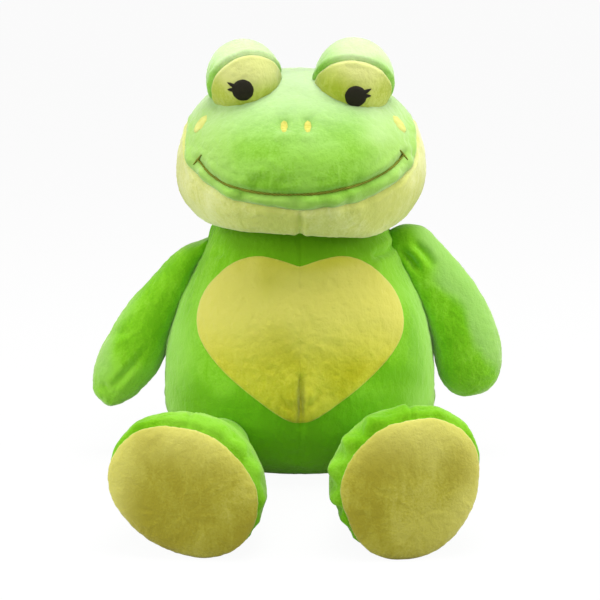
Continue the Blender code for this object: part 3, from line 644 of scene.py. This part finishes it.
# Each arm's outer side is painted paler, a painted sheen
ARM_GREENS = {
    name: plush_material(f"bright green plush, {name} arm", *GREENS, (PAINTED_SHEEN_GREEN, *painted_side))
    for name, painted_side in (
        ("left", ((0.866, 0, 0.5), 0.143, 0.154)), ("right", ((-0.866, 0, 0.5), 0.149, 0.164))
    )
}
# Painted light on the head: paler sides, a painted sheen; a paler lower muzzle and lip, a painted
# highlight; a much paler crown, a painted highlight of the top light
PALE = plush_material(
    "pale green plush", (130, 188, 50), (144, 199, 72), (116, 176, 32), 0.58,
    (0.93, 1, 0.84), ((157, 200, 96), (1, 0, 0), 0.026, 0.064),
    ((154, 198, 86), UP, 0.203, 0.191), ((198, 224, 172), UP, 0.224, 0.272),
)
# Painted highlight: the top of each lid is paler, where the top light falls
LID = plush_material(
    "eyelid plush", (140, 200, 70), (156, 210, 96), (124, 188, 50), 0.6,
    (0.95, 1, 0.88), ((199, 224, 164), UP, 0.267, 0.289),
)
CHIN = plush_material(
    "chin plush", (216, 220, 136), (224, 228, 156), (204, 209, 112), 0.5, (1, 1, 0.85)
)
# Painted highlight making the heart paler toward its top, and painted shadow of the chin darker at
# its top middle
HEART = plush_material(
    "heart plush", (198, 193, 46), (208, 203, 64), (186, 180, 30), 0.55,
    (1, 1, 0.8), ((213, 207, 98), UP, 0.072, 0.122),
    ((190, 186, 60), CHEST, 0.146, 0.163),
)
# Painted highlight: the top of each eye front is paler
EYE = plush_material(
    "eye plush", (180, 192, 72), (196, 206, 98), (164, 180, 50), 0.45,
    (1, 1, 0.85), ((208, 212, 132), UP, 0.259, 0.279),
)
# Painted highlights: each sole is paler at its top and its outer side, where top and side light
# fall
SOLE = plush_material(
    "sole plush", (178, 172, 60), (191, 186, 80), (166, 157, 46), 0.45,
    (1, 1, 0.82), ((211, 206, 106), UP, 0.04, 0.092),
    ((207, 202, 100), (1, 0, 0), 0.082, 0.11),
)
BROWN = thread_material("brown thread", (96, 104, 10), (142, 146, 44), 320, (0, 1.2, 0))
YELLOW = thread_material("yellow thread", (198, 190, 76), (224, 218, 112), 420, (0, 1.57, 0))
CHEEK = thread_material("pale yellow thread", (208, 210, 100), (226, 230, 140), 420, (0, 1.57, 0))
DARK = thread_material("dark thread", (22, 18, 8), (40, 36, 20), 480, (0, 0, 0))


def sewn(name, shape, keep, hem, *rest):
    """A stuffed piece: the faces of a form's grid that keep marks."""
    return finish_piece(name, grid_mesh(name, shape, keep, hem), *rest)


def finish_piece(name, mesh, body, slot_name, nodes, material, fill=None):
    piece = bpy.data.objects.new(name, mesh)
    SCENE.collection.objects.link(piece)
    piece.data.materials.append(material)
    if body:
        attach(piece, body)
    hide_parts(*nodes)
    return piece


def seam_rows(first, seam, last, below, above):
    """Places of the rows under and over a seam, one line of places for each angle."""
    low = np.linspace(0, 1, below + 1)[None, :-1]
    high = np.linspace(0, 1, above + 1)[None, :]
    low = first + (seam - first)[:, None] * low
    high = seam[:, None] + (last - seam)[:, None] * high
    return np.concatenate((low, high), 1)


# Torso


def torso():
    dome = ball_rows(NECK_RADIUS - NECK_GAP, NECK[2], (82, 69.5, 46, 23, 0))
    dome[0] = (dome[0][0], dome[0][1] + SHOULDER_SPREAD, *dome[0][2:])
    rows = [(0.0, *row) for row in SEAT]
    for z, width, front, back in PEAR:
        rows.append((z * NECK[2], width * TORSO_WIDTH, front * TORSO_FRONT, back * TORSO_BACK))
    rows = full(rows + dome, TORSO_POWER)
    # The cloth is pinned at the four upright seams, at the seat and at the neck
    factor, panel = 7, 16
    angles = ring(4 * panel * factor)
    places = np.linspace(0, len(rows) - 1, 30 * factor + 1)
    low = places[::factor]
    pinned = np.zeros((4 * panel, len(low)), bool)
    pinned[::panel] = True
    pinned[:, (low <= 3.2) | (low >= 11.6)] = True
    shape = stuffed(
        lambda a, p: egg(rows, a[:, None], p[None, :]), angles, places, pinned, factor, cap=0.003
    )
    x, y, z = np.moveaxis(shape, -1, 0)
    on_side = unit(z / 0.012) * unit((0.172 - z) / 0.01)
    # The front seam is pressed flat under the heart
    front_depth = 0.0007 * np.clip(np.abs(z - 0.118) / 0.034, 0.15, 1)
    rise = groove(x, 0.0016, np.where(y < 0, front_depth, 0.0012)) * on_side
    rise += groove(y, 0.0018, 0.0012) * on_side
    from_seat = (np.hypot(x / SEAT[-1][0], y / 0.047) - 1) * 0.05
    rise += groove(from_seat, 0.0018, 0.0012) * (z < 0.004)
    rise += puckers(shape, x, size=0.0075, reach=0.01, height=0.0006, seed=3) * on_side
    rise += puckers(shape, y, size=0.008, reach=0.014, height=0.0011, seed=4) * on_side
    for fold in TORSO_FOLDS:
        rise += crease(shape, *fold)
    rise += 0.003 * bump_at(shape, (0.07, -0.05, 0.112), (0.02, 0.03, 0.022))
    rise -= 0.002 * bump_at(shape, (0.0, -0.08, 0.135), (0.03, 0.03, 0.014))
    shape = raised(shape, rise)
    flatten = np.clip(z / 0.006, 0.02, 1) * np.clip((0.178 - z) / 0.006, 0.02, 1)
    shape = plush(shape, lumps=0.0008, pile=0.00036, seed=11, flatten=flatten)
    shape[..., 2] = np.maximum(shape[..., 2], 0.0)
    nodes = ["torso_front_left", "torso_front_right", "torso_back_left", "torso_back_right"]
    nodes += ["seat_panel", "torso_stuffing"]
    look = ("bright_green_plush", nodes, TORSO_GREEN, 0.75)
    sewn("torso_plush", shape, None, 0, "torso", *look)
    return shape


def caster(points):
    """Finds the spot on a form straight behind a place on its front, with its normal."""
    faces = quads_of(points).reshape(-1, 4).tolist()
    tree = BVHTree.FromPolygons(points.reshape(-1, 3).tolist(), faces)

    def spot(x, z):
        hit, normal, _, _ = tree.ray_cast(Vector((x, -0.5, z)), Vector((0, 1, 0)))
        if hit is None:
            hit, normal, _, _ = tree.find_nearest(Vector((x, -0.06, z)))
        if normal.y > 0:
            normal = -normal
        return np.array(hit), np.array(normal)

    return spot


def patch(name, spot, centre, rim, shares, smooth, soft_rim, sunk, thick, tufted=0.0):
    """A thin closed piece on a form, of rings from its rim in to its centre, in (x, z) places.

    Its rim is tucked in, and it reaches its full thickness within soft_rim.
    """
    flat = np.array(centre) + rim[:, None] * shares[:, None]
    spots = np.array([[spot(x, z) for x, z in line] for line in flat])
    places, normals = spots[:, :, 0], smooth_normals(spots[:, :, 1], smooth)
    tufts = 0.16 * noise(places, 0.0021, 8) + 0.12 * noise(places, 0.0036, 9)
    crown = unit((1 - shares) / soft_rim) ** 0.5 * (1 + tufted * tufts)
    outer = places + normals * (sunk + thick * crown)[..., None]
    inner = places - normals * 0.0012
    return grid_mesh(name, np.concatenate((outer, inner[:, ::-1]), 1))


def heart(shape):
    edge = np.array(HEART_EDGE) * (HEART_WIDTH, HEART_HEIGHT)
    half = at_rows(edge, np.linspace(0, len(edge) - 1, 145))
    rim = np.concatenate((half * (-1, 1), half[1:-1][::-1])) - (0.0, HEART_MIDDLE)
    mesh = patch(
        "heart_patch", caster(shape), (0.0, HEART_BOTTOM + HEART_MIDDLE), rim,
        1 - np.linspace(0, 1, 56) ** 1.15, smooth=12, soft_rim=0.035, sunk=-0.0004, thick=0.0013,
        tufted=1.0,
    )
    finish_piece("heart_patch", mesh, "torso", "heart_plush", ["tummy_heart"], HEART)


# Head


def smile_line():
    return at_rows(SMILE, np.linspace(0, len(SMILE) - 1, 97))


def head():
    dish = ball_rows(NECK_RADIUS + NECK_GAP, NECK[2], (0, 24, 48))
    opening = math.sqrt(NECK_RADIUS**2 - (HEAD_BOTTOM - NECK[2]) ** 2) + 0.0025
    rows = dish + [(HEAD_BOTTOM + 0.00125, opening, opening, opening)]
    for z, width, front, back in HEAD:
        along = HEAD_BOTTOM + z * HEAD_HEIGHT
        rows.append((along, width * HEAD_WIDTH, front * HEAD_FRONT, back * HEAD_BACK))
    rows = full(rows + [(HEAD_BOTTOM + HEAD_HEIGHT, 0, 0, 0)], HEAD_POWER)
    first, factor = len(dish), 7
    count = 64 * factor
    angles = ring(count)
    turn = np.degrees(angles)
    share = np.interp(np.minimum(turn, 360 - turn), *zip(*CROWN_SEAM))
    heights = HEAD_BOTTOM + HEAD_HEIGHT * share
    seam = np.interp(heights, rows[first:, 0], np.arange(first, len(rows)))
    seam = np.convolve(np.concatenate((seam[-4:], seam, seam[:4])), np.ones(9) / 9, "valid")
    # The cloth is pinned at the crown seam, at the seams under it and in the dish
    low_below, low_above = 12, 18
    below = low_below * factor
    places = seam_rows(0.0, seam, len(rows) - 1.0, below, low_above * factor)
    low = places[::factor, ::factor]
    pinned = low <= first + 0.6
    pinned[:, low_below] = True
    corner = round(JAW_CORNER / 360 * count)
    for column in (0, corner, count // 2, count - corner):
        pinned[column // factor, : low_below + 1] = True
    shape = stuffed(
        lambda a, p: egg(rows, a[:, None], p), angles, places, pinned, factor, cap=0.0026
    )
    x, y = shape[..., 0], shape[..., 1]
    from_seam = from_row(shape, below)
    outside = unit((places - first - 0.2) / 0.5)
    rise = groove(from_seam, 0.0018, 0.0016)
    rise += puckers(shape, from_seam, size=0.007, reach=0.011, height=0.0009, seed=21)
    rise += groove(x, 0.0018, 0.002) * unit(-from_seam / 0.002) * outside
    # The chin hangs a little lower on the frog's left, and the cheek stands out there
    sag = bump_at(shape, (0.05, -0.064, 0.171), (0.03, 0.034, 0.016))
    shape[..., 2] -= 0.0048 * sag * outside
    cheek = bump_at(shape, (0.088, -0.01, 0.198), (0.03, 0.08, 0.026))
    shape[..., 0] += 0.0026 * cheek * outside
    # The lip under the smile stands out in lumps, and the smile is drawn in
    lip = np.exp(-(((from_seam - 0.0055) / 0.0045) ** 2)) * unit(-y / 0.03)
    rise += lip * (0.0012 + 0.0025 * noise(shape, 0.0085, 25))
    shape = raised(shape, rise)
    near, _ = from_line(shape, smile_line())
    ahead = unit((-shape[..., 1] - 0.02) / 0.02)
    rise = groove(near, 0.0022, 0.0028) * ahead * (0.75 + 0.45 * noise(shape, 0.016, 27))
    rise += puckers(shape, near, size=0.008, reach=0.009, height=0.0007, seed=28) * ahead
    rise += 0.003 * bump_at(shape, (0.0, -0.08, 0.222), (0.05, 0.03, 0.018))
    tousled = bump_at(shape, (-0.026, -0.08, 0.214), (0.02, 0.03, 0.012))
    rise += 0.0011 * noise(shape, 0.006, 29) * tousled
    # A pillow under each nostril, and a hollow over it
    for side in (-1, 1):
        across = NOSE_X + side * NOSTRIL_OUT
        rise += 0.0024 * bump_at(shape, (across, -0.07, 0.233), (0.0058, 0.02, 0.0036))
        rise -= 0.0034 * bump_at(shape, (across, -0.066, 0.2418), (0.0046, 0.02, 0.004))
    shape = raised(shape, rise * outside)
    shape = plush(shape, lumps=0.0008, pile=0.00036, seed=31, flatten=0.03 + 0.97 * outside)
    columns = np.arange(count)
    front = (columns < corner) | (columns >= count - corner)
    under = (np.arange(shape.shape[1] - 1) < below)[None, :]
    chin = front[:, None] & under & (places[:, :-1] >= first + 0.02)
    nodes = ["head_top", "head_back_left", "head_back_right", "head_stuffing"]
    sewn("head_plush", shape, ~chin, HEM, "head", "pale_green_plush", nodes, PALE, 0.85)
    nodes = ["jaw_left", "jaw_right"]
    sewn("chin_plush", shape, chin, HEM, "head", "chin_plush", nodes, CHIN, 0.85)
    return shape


def ribbon(spot, line, widths, lift, thick):
    """Stitches along a line on the face, as a low rounded cord."""
    turns = ring(8)
    rings = []
    for k, (x, z) in enumerate(line):
        ahead = line[min(k + 1, len(line) - 1)] - line[max(k - 1, 0)]
        across = np.array((-ahead[1], ahead[0])) / max(np.linalg.norm(ahead), 1e-9)
        place, normal = spot(x, z)
        side = np.array((across[0], 0.0, across[1]))
        side = side - normal * (side @ normal)
        side /= np.linalg.norm(side)
        out = np.outer(np.sin(turns) * thick / 2, normal)
        rings.append(place + normal * lift + np.outer(np.cos(turns) * widths[k] / 2, side) + out)
    return np.stack(rings, 1)


def joined(name, grids):
    work = bmesh.new()
    for grid in grids:
        work.from_mesh(grid_mesh(name, grid))
    holes = [edge for edge in work.edges if edge.is_boundary]
    bmesh.ops.holes_fill(work, edges=holes, sides=64)
    bmesh.ops.recalc_face_normals(work, faces=work.faces)
    return smooth_mesh(bpy.data.meshes.new(name), work)


def oval(spot, name, centre, half_width, half_height, tilt):
    angles, turn = ring(40), math.radians(tilt)
    ragged = 1 + 0.04 * np.sin(7 * angles + 1) + 0.03 * np.sin(13 * angles)
    across = -half_width * ragged * np.sin(angles)
    up = half_height * ragged * np.cos(angles)
    right = across * math.cos(turn) + up * math.sin(turn)
    rim = np.stack((right, up * math.cos(turn) - across * math.sin(turn)), -1)
    shares = np.linspace(1, 0, 9)
    return patch(name, spot, centre, rim, shares, 3, soft_rim=0.35, sunk=SUNK, thick=STITCH)


def face(shape):
    spot = caster(shape)
    line = smile_line()
    length = np.concatenate(([0], np.cumsum(np.linalg.norm(np.diff(line, axis=0), axis=1))))
    stitch = np.abs(np.sin(length / 0.0048 * math.pi))
    patchy = np.clip(noise(np.stack((length, 0 * length, 0 * length), -1), 0.011, 26), -0.4, 1)
    widths = 0.001 + 0.0006 * stitch**0.4 + 0.001 * patchy
    grids = [ribbon(spot, line, widths, lift=0.0002, thick=0.0016)]
    # A short stroke crosses each end of the smile
    for end, lean in ((0, 1), (-1, -1)):
        stroke = line[end] + np.outer(np.linspace(-0.0045, 0.0045, 9), (0.62 * lean, 0.78))
        widths = 0.0015 * np.sin(np.linspace(0.25, math.pi - 0.25, 9))
        grids.append(ribbon(spot, stroke, widths, lift=0.0003, thick=0.0012))
    mesh = joined("smile_stitches", grids)
    finish_piece("smile_stitches", mesh, "head", "brown_thread", ["smile"], BROWN)
    for name, side in SIDES.items():
        nose = (NOSE_X + side * NOSTRIL_OUT, 0.2398)
        for mark, node, material, centre, half_width, half_height, tilt in (
            ("nostril", "nostril", YELLOW, nose, 0.0024, 0.0031, 0.0),
            ("cheek", "cheek_mark", CHEEK, (side * 0.0655, 0.238), 0.0022, 0.007, -38.0 * side),
        ):
            mesh = oval(spot, mark, centre, half_width, half_height, tilt)
            piece_name, nodes = f"{mark}_stitches_{name}", [f"{node}_{name}"]
            finish_piece(piece_name, mesh, "head", "yellow_thread", nodes, material)


def ball(angles, polar, reach):
    """Points of a ball about its middle, at polar angles from its front end."""
    across = np.sin(polar) * reach
    sideways, upward = np.sin(angles)[:, None] * across, -np.cos(angles)[:, None] * across
    return np.stack((sideways, upward, 0 * angles[:, None] + np.cos(polar) * reach), -1)


def eyes():
    for name, eye in EYES.items():
        drop, outward = math.radians(eye["drop"]), math.radians(eye["outward"])
        level = math.cos(drop)
        ahead = Vector((level * math.sin(outward), -level * math.cos(outward), -math.sin(drop)))
        up = (Vector(UP) - ahead * ahead.z).normalized()
        place = np.array(frame_of(eye["centre"], ahead, up))
        angles, polar = ring(160), np.linspace(math.pi, 0, 121)
        radius = eye["radius"]
        from_edge = (polar - EYE_EDGE) * radius + 0 * angles[:, None]
        reach = radius + groove(from_edge, 0.0014, 0.0017)
        roll = 0.0004 * np.exp(-(((from_edge - 0.004) / 0.004) ** 2))
        reach = reach + np.where(from_edge > 0, roll, 0.0)
        reach = reach + 0.0007 * np.cos(angles * 2)[:, None] * np.sin(polar)
        shape = ball(angles, polar, reach) @ place[:3, :3].T + place[:3, 3]
        rise = puckers(shape, from_edge, size=0.0055, reach=0.006, height=0.0005, seed=41)
        shape = plush(raised(shape, rise), lumps=0.0005, pile=0.00026, seed=43)
        front = (polar[:-1] <= EYE_EDGE + 1e-9)[None, :] & np.ones((len(angles), 1), bool)
        for part, keep, slot_name, nodes, material in (
            ("lid", ~front, "pale_green_plush", ["eye_lid", "eye_stuffing"], LID),
            ("front", front, "eye_plush", ["eye_front"], EYE),
        ):
            nodes = [f"{node}_{name}" for node in nodes]
            piece_name = f"eye_{part}_plush_{name}"
            sewn(piece_name, shape, keep, EYE_HEM, "head", slot_name, nodes, material, 0.9)
        pupil(name, caster(shape))


def pupil(name, spot):
    """A round pupil with two short lashes at its outer upper side."""
    side = SIDES[name]
    angles = ring(96)
    off = (np.degrees(angles) - 14 + 180) % 360 - 180
    lashes = np.maximum(0.0048 * (1 - np.abs(off - 12) / 11), 0.0036 * (1 - np.abs(off + 12) / 11))
    reach = (PUPIL_RADIUS + np.maximum(lashes, 0)) * (1 + 0.006 * np.sin(9 * angles))
    rim = np.stack((side * reach * np.cos(angles), reach * np.sin(angles)), -1)[::-side]
    mesh = patch(
        f"pupil_{name}", spot, PUPILS[name], rim, np.linspace(1, 0, 14), smooth=4, soft_rim=0.2,
        sunk=SUNK, thick=STITCH,
    )
    finish_piece(f"pupil_stitches_{name}", mesh, "head", "dark_thread", [f"pupil_{name}"], DARK)


# Limbs


def arm(name):
    side = SIDES[name]
    down = Vector((side * math.sin(ARM_SLOPE), 0, -math.cos(ARM_SLOPE)))
    outward = Vector((side * math.cos(ARM_SLOPE), 0, math.sin(ARM_SLOPE)))
    rows = list(ARM_ROOTS[name])
    for (along, outer, inner), half in zip(ARM_OUTLINES[name], ARM_THICKNESS):
        rows.append((along / 1000, half, outer / 1000, inner / 1000))
    rows = full(rows + [(ARM_TIPS[name] / 1000, 0, 0, 0)], ARM_POWER)
    root = SHOULDER * (side, 1, 1)
    place = frame_of(root, down, outward)
    # The cloth is pinned at the seam round the arm, at its root and at its tip
    factor, panel = 5, 16
    angles = ring(2 * panel * factor)
    places = np.linspace(0, len(rows) - 1, 22 * factor + 1)
    low = places[::factor]
    pinned = np.zeros((2 * panel, len(low)), bool)
    pinned[::panel] = True
    pinned[:, low < 2.5] = True
    pinned[:, -2:] = True
    shape = stuffed(
        lambda a, p: egg(rows, a[:, None], p[None, :], place),
        angles, places, pinned, factor, cap=0.002,
    )
    own = in_frame(shape, place)
    across, along = own[..., 0], own[..., 2]
    on = unit((along + 0.004) / 0.01)
    rise = groove(across, 0.0014, 0.0011) * on
    rise += puckers(shape, across, size=0.008, reach=0.01, height=0.0004, seed=51 + side) * on
    for path, depth in ARM_FOLDS[name]:
        rise += crease(shape, path, 0.0026, depth, 0.4)
    shape = raised(shape, rise)
    shape = plush(shape, lumps=0.0006, pile=0.00034, seed=61 + side, flatten=0.2 + 0.8 * on)
    nodes = [f"arm_front_{name}", f"arm_back_{name}", f"arm_stuffing_{name}"]
    look = ("bright_green_plush", nodes, ARM_GREENS[name], 0.6)
    piece = sewn(f"arm_plush_{name}", shape, None, 0, None, *look)
    start, end = (root + np.array(down) * along for along in (-0.012, 0.024))
    tuple(start)
    tuple(end)
    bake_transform(piece)


def sole_edge(name, centre):
    """The reach of a sole's edge from the leg's axis, by the angle from the top, outward."""
    radii = np.array(SOLE_EDGES[name]) / 1000
    turns = np.radians(np.arange(0, 360.5, 0.5))
    wrapped = np.concatenate((radii[-2:], radii, radii[:3]))[:, None]
    spread = at_rows(wrapped, turns / TAU * len(radii) + 2)[:, 0]
    across, up = centre[0] + spread * np.sin(turns), centre[1] + spread * np.cos(turns)
    theta = np.unwrap(np.arctan2(across, up))
    order = np.argsort(theta)
    theta, reach = theta[order], np.hypot(across, up)[order]
    theta = np.concatenate((theta - TAU, theta, theta + TAU))
    table = np.radians(np.arange(-360, 721))
    reach = np.interp(table, theta, np.tile(reach, 3))
    return lambda angle: np.interp(np.mod(angle, TAU), table, reach)


def leg(name):
    side = SIDES[name]
    ahead = Vector((side * math.sin(LEG_SPLAY), -math.cos(LEG_SPLAY), 0))
    rows = ball_rows(HIP_BALL, 0.0, (180, 150, 120, 90))
    thigh = len(rows)
    for along, width, top, bottom, lean in LEG:
        sizes = (width * LEG_WIDTH, top * LEG_TOP, bottom * LEG_BOTTOM)
        rows.append((along * LEG_LENGTH, *sizes, lean * LEG_LEAN))
    edge_row = len(rows) - 1
    along, width, top, bottom, lean = rows[-1]
    for share, bulge in SOLE_BULGE:
        rows.append((along + bulge, width * share, top * share, bottom * share, lean))
    rows = full(rows, LEG_POWER)
    root = HIP * (side, 1, 1)
    place = frame_of(root, ahead, UP)
    centre_x, centre_z = SOLE_CENTRES[name]
    centre = (centre_x - abs((root + np.array(ahead) * along)[0]), centre_z - HIP[2])
    edge_reach = sole_edge(name, centre)

    def edged(angles, places, reach):
        """Bends the rings toward the outline of this leg's own sole."""
        _, width, front, back, _, _, power = rows[edge_row]
        across, ahead = np.sin(angles), np.cos(angles)
        depth = np.where(ahead > 0, front, back)
        usual = (np.abs(across) / width) ** power + (np.abs(ahead) / depth) ** power
        usual = usual ** (-1 / power)
        share = unit((places - thigh) / (edge_row - thigh)) ** 0.8
        return reach * (1 + share * (edge_reach(-angles * side) / usual - 1))

    # The cloth is pinned at the sole's seam, at the leg's two seams and at the hip
    factor, panel, low_seam = 4, 32, 22
    angles = ring(2 * panel * factor)
    seam_at = low_seam * factor
    places = np.linspace(0, edge_row, seam_at + 1)[:-1]
    places = np.concatenate((places, np.linspace(edge_row, len(rows) - 1, 8 * factor + 1)))
    low = places[::factor]
    pinned = np.zeros((2 * panel, len(low)), bool)
    pinned[::panel, :low_seam] = True
    pinned[:, low_seam] = True
    pinned[:, low < 3.5] = True
    shape = stuffed(
        lambda a, p: egg(rows, a[:, None], p[None, :], place, 0.0, edged),
        angles, places, pinned, factor, cap=0.0024,
    )
    own = in_frame(shape, place)
    across, along = own[..., 0], own[..., 2]
    from_seam = from_row(shape, seam_at)
    behind = from_seam < 0
    on = unit((along - 0.004) / 0.02)
    away = 1 - np.exp(-((from_seam / 0.0035) ** 2))
    # Angle from the top, toward the other leg
    turn = np.arctan2(across * side, -own[..., 1])
    inner, upper = np.sin(turn), np.cos(turn)
    rise = groove(from_seam, 0.0018, 0.0019)
    # The rim rolls over the sole's top
    roll = 0.0022 * unit(upper * 1.4) * np.exp(-(((from_seam + 0.009) / 0.008) ** 2))
    rise += np.where(behind, roll, 0)
    # It is gathered and stuffed out on the side of the other leg
    gather = np.sin(turn * 19 + 2.2 * noise(shape, 0.03, 71 + side))
    where = 0.1 + unit(np.sin(turn + 0.3)) * GATHERS[name] * unit(upper + 0.6)
    near = np.exp(-((from_seam / 0.013) ** 2))
    rise += np.where(behind, 0.0038, 0.0) * gather * where * near * on * away
    bulge = FULLNESS[name] * unit(inner) * unit(upper + 0.75)
    bulge = bulge * away * np.exp(-(((from_seam + 0.022) / 0.026) ** 2))
    rise += np.where(behind, bulge, 0)
    rise += groove(across, 0.0016, 0.0013) * behind * on
    rise += puckers(shape, across, size=0.008, reach=0.012, height=0.0007, seed=73) * behind * on
    shape = raised(shape, rise)
    flatten = (0.2 + 0.8 * on) * np.clip(shape[..., 2] / 0.004, 0.05, 1)
    shape = plush(shape, lumps=0.0006, pile=0.00036, seed=75 + side, flatten=flatten)
    shape[..., 2] = np.maximum(shape[..., 2], 0.0)
    sole = (np.arange(shape.shape[1] - 1) >= seam_at)[None, :] & np.ones((len(angles), 1), bool)
    nodes = [f"leg_inner_{name}", f"leg_outer_{name}", f"leg_stuffing_{name}"]
    look = ("bright_green_plush", nodes, GREEN, 0.7)
    sewn(f"leg_plush_{name}", shape, ~sole, HEM, f"leg_{name}", *look)
    look = ("sole_plush", [f"sole_{name}"], SOLE, 0.7)
    sewn(f"sole_plush_{name}", shape, sole, HEM, f"leg_{name}", *look)


def neck_cap():
    """The cap of the neck's pad, as a shell over the torso's dome."""
    polar = np.radians(np.linspace(0, 52, 12))
    polar = np.concatenate((polar, polar[::-1]))
    radii = np.repeat((NECK_RADIUS + 0.0004, NECK_RADIUS - 0.0004), 12)
    mesh = grid_mesh("neck_pad", ball(ring(64), polar, radii)[:, ::-1] + NECK)
    finish_piece("neck_pad", mesh, "neck", "bright_green_plush", ["neck_stuffing"], GREEN)


# Studio

WHITE = (1, 1, 1, 1)
FLOOR_HALF = 60.0
FLOOR_WHITE = 0.95
FLOOR_GREY = 0.55
WORLD_LIGHT = 0.18
AIM = (0, 0, 0.14)
CAMERA_PLACE = (0, -1.174, 0.361)
CAMERA_TILT = 78
LENS, SENSOR = 103.6, 36
# Name, place, size, power
LIGHTS = (
    ("overhead softbox", (0.1, -0.16, 1.25), 0.8, 11.5),
    ("front softbox", (-0.2, -1.15, 0.95), 0.8, 5.2),
    ("right softbox", (1.0, -0.15, 0.45), 0.6, 6.5),
    ("left softbox", (-1.0, -0.22, 0.45), 0.6, 5.8),
)


def stage():
    low, high = -FLOOR_HALF, FLOOR_HALF
    corners = [(low, low, 0), (high, low, 0), (high, high, 0), (low, high, 0)]
    mesh = bpy.data.meshes.new("floor")
    mesh.from_pydata(corners, [], [(0, 1, 2, 3)])
    floor = bpy.data.objects.new("floor", mesh)
    SCENE.collection.objects.link(floor)
    # The camera sees floor and background white, and the light that they give is less
    material, tree, shader = new_material("pale floor")
    seen = add(tree, "ShaderNodeLightPath").outputs["Is Camera Ray"]
    grey, pale = ((tone, tone, tone, 1) for tone in (FLOOR_GREY, FLOOR_WHITE))
    tone = add(tree, "ShaderNodeMixRGB", seen, grey, pale)
    wire(shader, Base_Color=tone, Roughness=0.9)
    share = math_node(tree, "MULTIPLY", seen, FLOOR_WHITE)
    white = add(tree, "ShaderNodeEmission", WHITE, 1.0)
    mix = add(tree, "ShaderNodeMixShader", share, shader, white)
    wire(tree.nodes["Material Output"], mix)
    mesh.materials.append(material)

    world = bpy.data.worlds.new("studio")
    SCENE.world = world
    world.use_nodes = True
    tree = world.node_tree
    light = wire(tree.nodes["Background"], WHITE, WORLD_LIGHT)
    white = add(tree, "ShaderNodeBackground", WHITE, 1.0)
    seen = add(tree, "ShaderNodeLightPath").outputs["Is Camera Ray"]
    wire(tree.nodes["World Output"], add(tree, "ShaderNodeMixShader", seen, light, white))

    for name, spot, size, power in LIGHTS:
        light = bpy.data.lights.new(name, "AREA")
        light.shape = "DISK"
        light.size = size
        light.energy = power
        lamp = bpy.data.objects.new(name, light)
        lamp.location = spot
        lamp.rotation_euler = (Vector(AIM) - Vector(spot)).to_track_quat("-Z", "Y").to_euler()
        SCENE.collection.objects.link(lamp)

    camera = bpy.data.objects.new("camera", bpy.data.cameras.new("camera"))
    camera.location = CAMERA_PLACE
    camera.rotation_euler.x = math.radians(CAMERA_TILT)
    camera.data.lens, camera.data.sensor_width = LENS, SENSOR
    SCENE.collection.objects.link(camera)
    SCENE.camera = camera
    SCENE.view_settings.view_transform = "Standard"


heart(torso())
face(head())
eyes()
for which in SIDES:
    arm(which)
    leg(which)
neck_cap()
stage()
